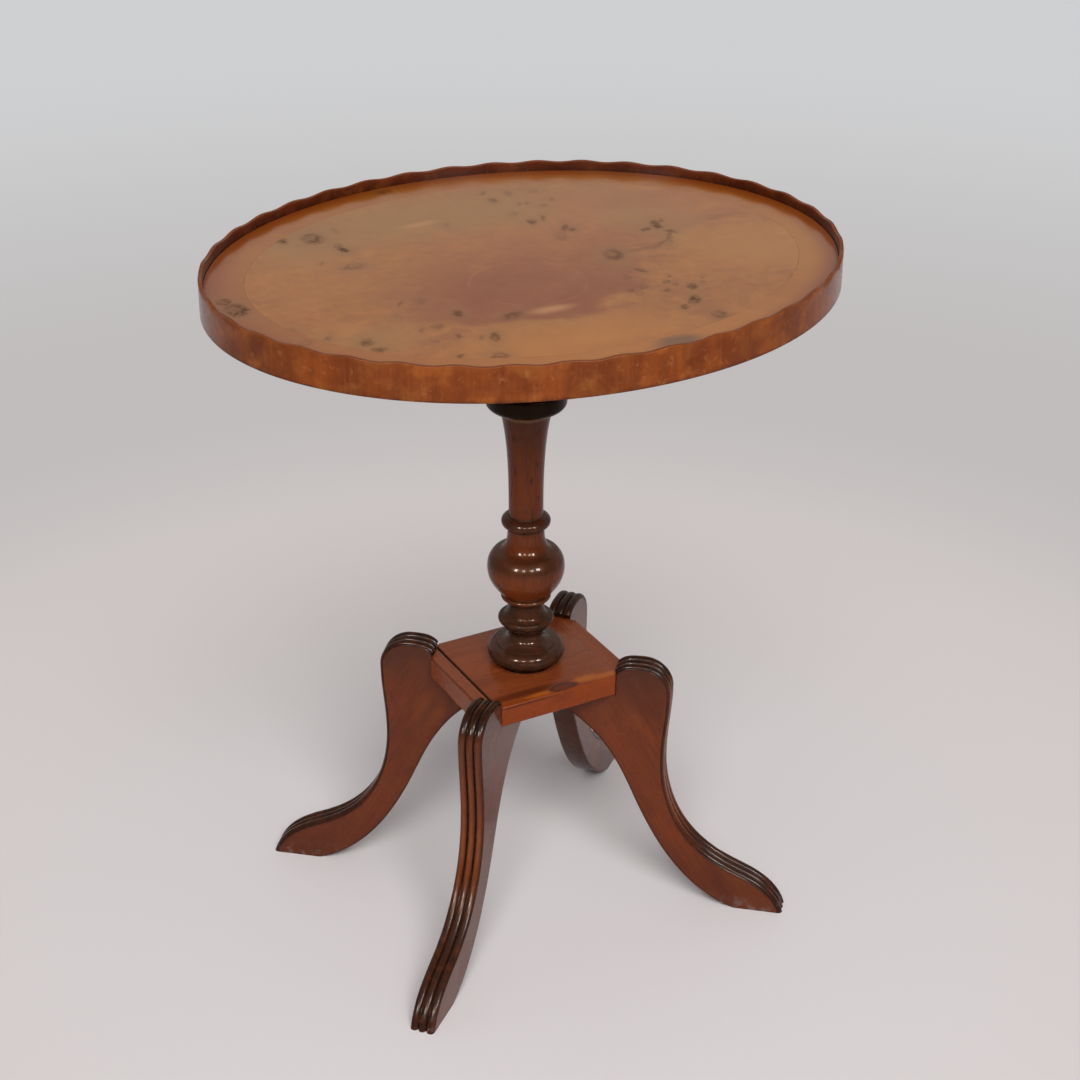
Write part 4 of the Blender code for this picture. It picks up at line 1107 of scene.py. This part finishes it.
# Crossband
# A band of plainer yew glued round the field, laid with its grain running out to the edge.
# It lies under the same polish, and is painted darker along the foot of the gallery as shade in the corner.
band_inset = rim_half.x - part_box("top_crossband")[1].x
BAND_GAP = 0.00006
BAND_FOOT_WIDTH = 0.002
BAND_TONES = ((0.266, 0.0765, 0.0090), (0.292, 0.0890, 0.0110), (0.330, 0.1060, 0.0145))
BAND_FOOT_SHADE = (0.185, 0.036, 0.0040)
BAND_LEFT = (0.220, 0.060, 0.0075)
BAND_RIGHT = (0.350, 0.128, 0.0200)
BAND_PORES = (0.13, 0.038, 0.012)
STAIN_TONE = (0.085, 0.037, 0.0160)
BAND_MARKS = (
    (BAND_LEFT, (-rim_half.x, 0.0, 0.0), (0.045, 0.130, 1.0), 0.6, 0.3, 0.6),
    (BAND_RIGHT, (0.200, -0.055, 0.0), (0.070, 0.080, 1.0), 0.7, 0.4, 0.55),
    (GOLD_TONE, (0.0, -rim_half.y, 0.0), (0.170, 0.050, 1.0), 0.6, 0.3, 0.6),
)
BAND_STAIN = ((STAIN_TONE, (0.017, -0.1710, 0.0), (0.0175, 0.0095, 1.0), 0.6, 0.5, 0.75),)
BAND_KNOTS = ((-210, 10, 20, 14, 85, 0.95, 1), (-212, 27, 11, 9, 90, 0.85, 1), (-215, -33, 6, 5, 90, 0.4, 0),
              (-193, -62, 12, 9, 60, 0.25, 1), (-25, 179, 15, 8, 20, 0.6, 0))

band_wood, look = new_material("yew_crossband")
where = look.where()
flat = look.vector("MULTIPLY", where, LEVEL)
round_plan = look.vector("DIVIDE", flat, (rim_half.x, rim_half.y, 1.0))
spoke = look.add("VectorMath", {0: round_plan}, operation="NORMALIZE")[0]
spoke = look.axes(look.vector("MULTIPLY", spoke, (rim_half.x, rim_half.x, 0.0)))
place = look.add("CombineXYZ", {0: look.distance(where), 1: spoke["X"], 2: spoke["Y"]})[0]
dress_wood(look, place, BAND_TONES, 75.0, BAND_TONES[2], BAND_PORES, 0.17, 0.2, 0.3)
look.lay_marks(flat, BAND_MARKS)
# Painted shade in the corner along the gallery's foot
look.lay(BAND_FOOT_SHADE, look.ranged(look.distance(round_plan), 0.890, 0.975, 0.0, 0.9))
dark = lay_knots(look, flat, BAND_KNOTS)
look.lay_marks(flat, BAND_STAIN)
look.finish(TOP_SHEEN, look.ranged(dark, 0.0, 0.9, TOP_POLISH, 0.05), TOP_POLISH_BLUR)

joint = field_inset - BAND_GAP
strip = [(band_inset, veneer_foot, 0, 0), (band_inset, top_face, 0, 0.6),
         (band_inset + BAND_FOOT_WIDTH, top_face, 0, 0), (joint - VENEER_ARRIS, top_face, 0, 0),
         (joint, top_face - VENEER_ARRIS, 0, 0), (joint, veneer_foot, 0, 0)]
band = build("top_crossband_dressed", oval_loops(strip, OVAL_SIDES, True), band_wood)
fit(band, "top_crossband")


# Gallery
# A thin strip bent round the edge of the board and faced outside with upright yew veneer, its upper edge
# cut in shallow scallops and rubbed pale and round by use.
SCALLOPS = 38
SCALLOP_DEPTH = 0.0014
SIDES_PER_SCALLOP = 10
RIM_ROUNDING = 0.00055
STRIP_ROUNDING = 0.0002
FACING_ROUNDING = 0.0001
FACING = 0.0007
RIM_GAP = 0.00004
STRIP_THICKNESS = 0.0022
ROUND_SHARES = (0.0, 0.3, 0.65, 1.0)
RUBBED_DROP = 0.0035
RIM_EASE = 0.0002
# Heights of dirt and painted shade at the outside foot, and in the corner inside where the strip meets the
# top
RIM_FOOT_DIRT_AND_SHADE = (0.0014, 0.003)
TRAY_DIRT_AND_SHADE = (0.0012, -0.0004)
rim_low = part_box("gallery_facing")[0].z
rim_middle = rim_half.z - SCALLOP_DEPTH / 2
rim_sides = SCALLOPS * SIDES_PER_SCALLOP


def scalloped(drop):
    """The heights of the gallery's upper edge, less a drop, from a hollow on the long axis."""
    turns = (2 * math.pi * SCALLOPS * side / rim_sides for side in range(rim_sides))
    return [rim_middle - SCALLOP_DEPTH / 2 * math.cos(turn) - drop for turn in turns]


def rim_corner(side, way, radius, rubbed):
    """A rounded upper corner from a side inwards, rubbed more towards the top."""
    corner = []
    for share in ROUND_SHARES:
        angle = share * math.pi / 2
        inset = side + way * radius * (1 - math.cos(angle))
        corner.append((inset, scalloped(radius * (1 - math.sin(angle))), rubbed + (1 - rubbed) * share, 0))
    return corner


def rim_section(outer, inner, round_outer, round_inner):
    """An upright strip between two insets, with its upper corners rounded, and dirt and painted shade along
    its foot and in the corner where it meets the top.
    """
    section = [(outer + RIM_EASE, rim_low, 0, 0.9), (outer, rim_low + RIM_EASE, 0, 0.9),
               (outer, rim_low + RIM_FOOT_DIRT_AND_SHADE[0], 0, 0.3), (outer, rim_low + RIM_FOOT_DIRT_AND_SHADE[1], 0, 0),
               (outer, scalloped(RUBBED_DROP), 0, 0)]
    section += rim_corner(outer, 1, round_outer, 0.4) + rim_corner(inner, -1, round_inner, 0.3)[::-1]
    return section + [(inner, scalloped(RUBBED_DROP), 0, 0.1), (inner, top_face + TRAY_DIRT_AND_SHADE[0], 0, 0.5),
                      (inner, top_face + TRAY_DIRT_AND_SHADE[1], 0, 1.0), (inner, rim_low, 0, 0.5)]


RIM_TONES = ((0.115, 0.0220, 0.0035), (0.215, 0.0460, 0.0060), (0.290, 0.0780, 0.0110))
RIM_RUBBED = (0.185, 0.046, 0.0080)
RIM_FLECK = (0.36, 0.140, 0.050)
RIM_HAZE = (0.250, 0.078, 0.0135)
RIM_WAX_AND_SHADE = (0.035, 0.009, 0.003)
STRIP_TONES = ((0.052, 0.0085, 0.0026), (0.083, 0.0138, 0.0040), (0.112, 0.0225, 0.0056))
STRIP_RUBBED = (0.165, 0.039, 0.0090)
STRIP_WAX_AND_SHADE = (0.018, 0.006, 0.003)
RIM_MOTTLE_SCALES = (55.0, 55.0, 70.0)
RIM_FLECK_SCALES = (210.0, 210.0, 160.0)


def rim_material(name, tones, rubbed, wax_and_shade, seed, fleck):
    """Mottled wood with hazy patches and scuffs, rubbed through along its upper edge."""
    material, look = new_material(name)
    place = look.grain_place(GRAIN_UPRIGHT)
    dress_wood(look, place, tones, seed, rubbed, wax_and_shade, 0.26, 0.2, 0.26)
    where = look.where()
    mottle = look.noise(where, RIM_MOTTLE_SCALES, 5.0, seed + 1.0)
    look.lay(tones[0], look.ranged(mottle, 0.46, 0.66, 0.0, 0.6))
    look.lay(tones[2], look.ranged(mottle, 0.46, 0.34, 0.0, 0.5))
    haze = look.noise(where, 48.0, 5.0, seed + 5.0, 1.0)
    look.lay(RIM_HAZE, look.ranged(haze, 0.52, 0.72, 0.0, fleck))
    flecks = look.noise(where, RIM_FLECK_SCALES, 3.0, seed, 1.2)
    look.lay(RIM_FLECK, look.ranged(flecks, 0.56, 0.76, 0.0, 0.8 * fleck))
    worn = look.mask("worn")
    look.lay(rubbed, look.ranged(worn, 0.5, 1.0, 0.0, 0.65))
    sheen = look.ranged(look.add("LayerWeight")["Facing"], 0.5, 0.95, 0.05, 0.55)
    look.finish(0.10, look.times(sheen, look.ranged(worn, 0.0, 0.6, 1.0, 0.1)), 0.22)
    return material


strip_inset = FACING + RIM_GAP
for node, slot, tones, rubbed, wax_and_shade, seed, fleck, section in (
    ("gallery_strip", "gallery_strip", STRIP_TONES, STRIP_RUBBED, STRIP_WAX_AND_SHADE, 81.0, 0.15,
     rim_section(strip_inset, strip_inset + STRIP_THICKNESS, STRIP_ROUNDING, RIM_ROUNDING)),
    ("gallery_facing", "yew_rim_facing", RIM_TONES, RIM_RUBBED, RIM_WAX_AND_SHADE, 85.0, 0.45,
     rim_section(0.0, FACING, RIM_ROUNDING, FACING_ROUNDING)),
):
    material = rim_material(node + "_wood", tones, rubbed, wax_and_shade, seed, fleck)
    rim = build(node + "_dressed", oval_loops(section, rim_sides, True), material)
    fit(rim, node)


# Floor
# A plain pale painted floor that takes the table's shadow.
# Away from the table camera rays see it glow instead, a painted lit tone with a painted darker band farther
# out, fading into the backdrop, and from below it is clear.
FLOOR_TONE = (0.685, 0.64, 0.645)
FLOOR_MOTTLE = (0.58, 0.55, 0.54)
NEAR_FLOOR = (0.645, 0.590, 0.580)
FAR_FLOOR_SHADE = (0.525, 0.505, 0.500)
BACKDROP_TONE = (0.62, 0.625, 0.635)
FLOOR_HALF = 30.0
floor_paint, look = new_material("pale_floor")
where = look.where()
mottle = look.ranged(look.noise(where, 2.2, 4.0), 0.35, 0.65, 0.0, 0.05)
look.colour = FLOOR_TONE
look.lay(FLOOR_MOTTLE, mottle)
look.finish(0.2)
look.wire(look.principled.inputs, {"Roughness": 0.55})
away = look.distance(where)
# Painted light: away from the table the floor glows for camera rays in place of its own shading, darker
# farther out as painted shade
look.colour = NEAR_FLOOR
look.lay(FAR_FLOOR_SHADE, look.ranged(away, 0.45, 1.0))
look.lay(BACKDROP_TONE, look.ranged(away, 1.0, 2.4))
floor_glow = look.add("Emission", {"Color": look.colour})[0]
lost = look.times(look.ranged(away, 0.15, 0.75), look.add("LightPath")["Is Camera Ray"])
faded = look.add("MixShader", {0: lost, 1: look.principled.outputs[0], 2: floor_glow})[0]
below = look.add("NewGeometry")["Backfacing"]
surface = look.add("MixShader", {0: below, 1: faded, 2: look.add("BsdfTransparent")[0]})[0]
look.wire(look.tree.nodes["Material Output"].inputs, {"Surface": surface})
bm = bmesh.new()
corners = ((-1, -1), (1, -1), (1, 1), (-1, 1))
bm.faces.new([bm.verts.new((x * FLOOR_HALF, y * FLOOR_HALF, 0)) for x, y in corners])
floor = build("floor", bm, floor_paint)


# Camera
# It stands in front of the left of the table and looks down on it, as the photograph was taken.
# Its place, turn and lens are fitted to the table's outline.
CAMERA_DISTANCE = 1.4711
CAMERA_HEIGHT = 1.0702
CAMERA_LENS = 75.33
CAMERA_SENSOR = 36.0
CAMERA_ROUND = 0.4966
CAMERA_PITCH = 0.4818
CAMERA_YAW = 0.0070
CAMERA_ROLL = 0.0048


def round_table(v):
    """A direction seen from the photograph's side, turned into the table's frame."""
    c, s = math.cos(CAMERA_ROUND), math.sin(CAMERA_ROUND)
    return Vector((c * v[0] + s * v[1], -s * v[0] + c * v[1], v[2]))


camera_data = bpy.data.cameras.new("camera")
camera_data.lens = CAMERA_LENS
camera_data.sensor_width = CAMERA_SENSOR
camera = bpy.data.objects.new("camera", camera_data)
bpy.context.scene.collection.objects.link(camera)
heading = Matrix.Rotation(-CAMERA_ROUND - CAMERA_YAW, 3, "Z")
tilt = Matrix.Rotation(math.pi / 2 - CAMERA_PITCH, 3, "X")
camera.rotation_euler = (heading @ tilt @ Matrix.Rotation(CAMERA_ROLL, 3, "Z")).to_euler()
camera.location = round_table((0.0, -CAMERA_DISTANCE, CAMERA_HEIGHT))
bpy.context.scene.camera = camera


# Light
# A dim room with a pale wall beyond the table. Four windows behind the camera glint on the polish, and a
# broad soft light over the camera does the work.
ROOM_TONE = (0.20, 0.20, 0.19)
WALL_TONE = (0.54, 0.53, 0.49)
CEILING_TONE = (0.72, 0.73, 0.75)
ROOM_SHADE = (0.58, 0.58, 0.58)
# Each window's bearing in degrees, power and tint
WINDOWS = ((-32, 200.0, (0.98, 0.99, 1.0)), (-7, 90.0, (1.0, 0.88, 0.74)),
           (19, 90.0, (1.0, 0.86, 0.72)), (40, 200.0, (0.98, 0.99, 1.0)))
WINDOW_ELEVATION = 31.0
WINDOW_SIZE = (0.72, 0.95)
SOFT_LIGHT_BEARING = 6.0
SOFT_LIGHT_ELEVATION = 42.0
SOFT_LIGHT_POWER = 235.0
SOFT_LIGHT_SIZE = (3.2, 2.0)
LIGHT_DISTANCE = 4.6
AIM = Vector((0.0, 0.0, 0.30))

room = bpy.data.worlds.new("dim_room")
room.use_nodes = True
look = Shading(room.node_tree)
toward = look.add("TexCoord")["Generated"]
facing = {0: toward, 1: round_table((0.0, 1.0, 0.0))}
beyond = look.add("VectorMath", facing, operation="DOT_PRODUCT")["Value"]
look.colour = ROOM_TONE
look.lay(WALL_TONE, look.ranged(beyond, -0.2, 0.5))
look.lay(CEILING_TONE, look.ranged(look.axes(toward)["Z"], 0.45, 0.85))
path = look.add("LightPath")
look.lay(look.vector("MULTIPLY", look.colour, ROOM_SHADE), path["Is Diffuse Ray"])
look.lay(BACKDROP_TONE, path["Is Camera Ray"])
look.wire(look.tree.nodes["Background"].inputs, {"Color": look.colour})
bpy.context.scene.world = room


def lamp(name, bearing, elevation, power, size, tint=(1.0, 1.0, 1.0)):
    """A rectangular light behind the camera, aimed at the table."""
    light = bpy.data.lights.new(name, "AREA")
    light.shape = "RECTANGLE"
    light.size, light.size_y = size
    light.energy = power
    light.color = tint
    hung = bpy.data.objects.new(name, light)
    bpy.context.scene.collection.objects.link(hung)
    turn = math.radians(bearing)
    way = Vector((math.sin(turn), -math.cos(turn), math.tan(math.radians(elevation)))).normalized()
    hung.location = AIM + round_table(way) * LIGHT_DISTANCE
    hung.rotation_euler = (AIM - hung.location).to_track_quat("-Z", "Y").to_euler()
    return hung


for count, (bearing, power, tint) in enumerate(WINDOWS):
    window = lamp(f"window_{count + 1}", bearing, WINDOW_ELEVATION, power, WINDOW_SIZE, tint)
    window.visible_diffuse = False
soft_light = lamp("soft_light", SOFT_LIGHT_BEARING, SOFT_LIGHT_ELEVATION, SOFT_LIGHT_POWER, SOFT_LIGHT_SIZE)
soft_light.visible_glossy = False

bpy.context.scene.view_settings.view_transform = "Standard"
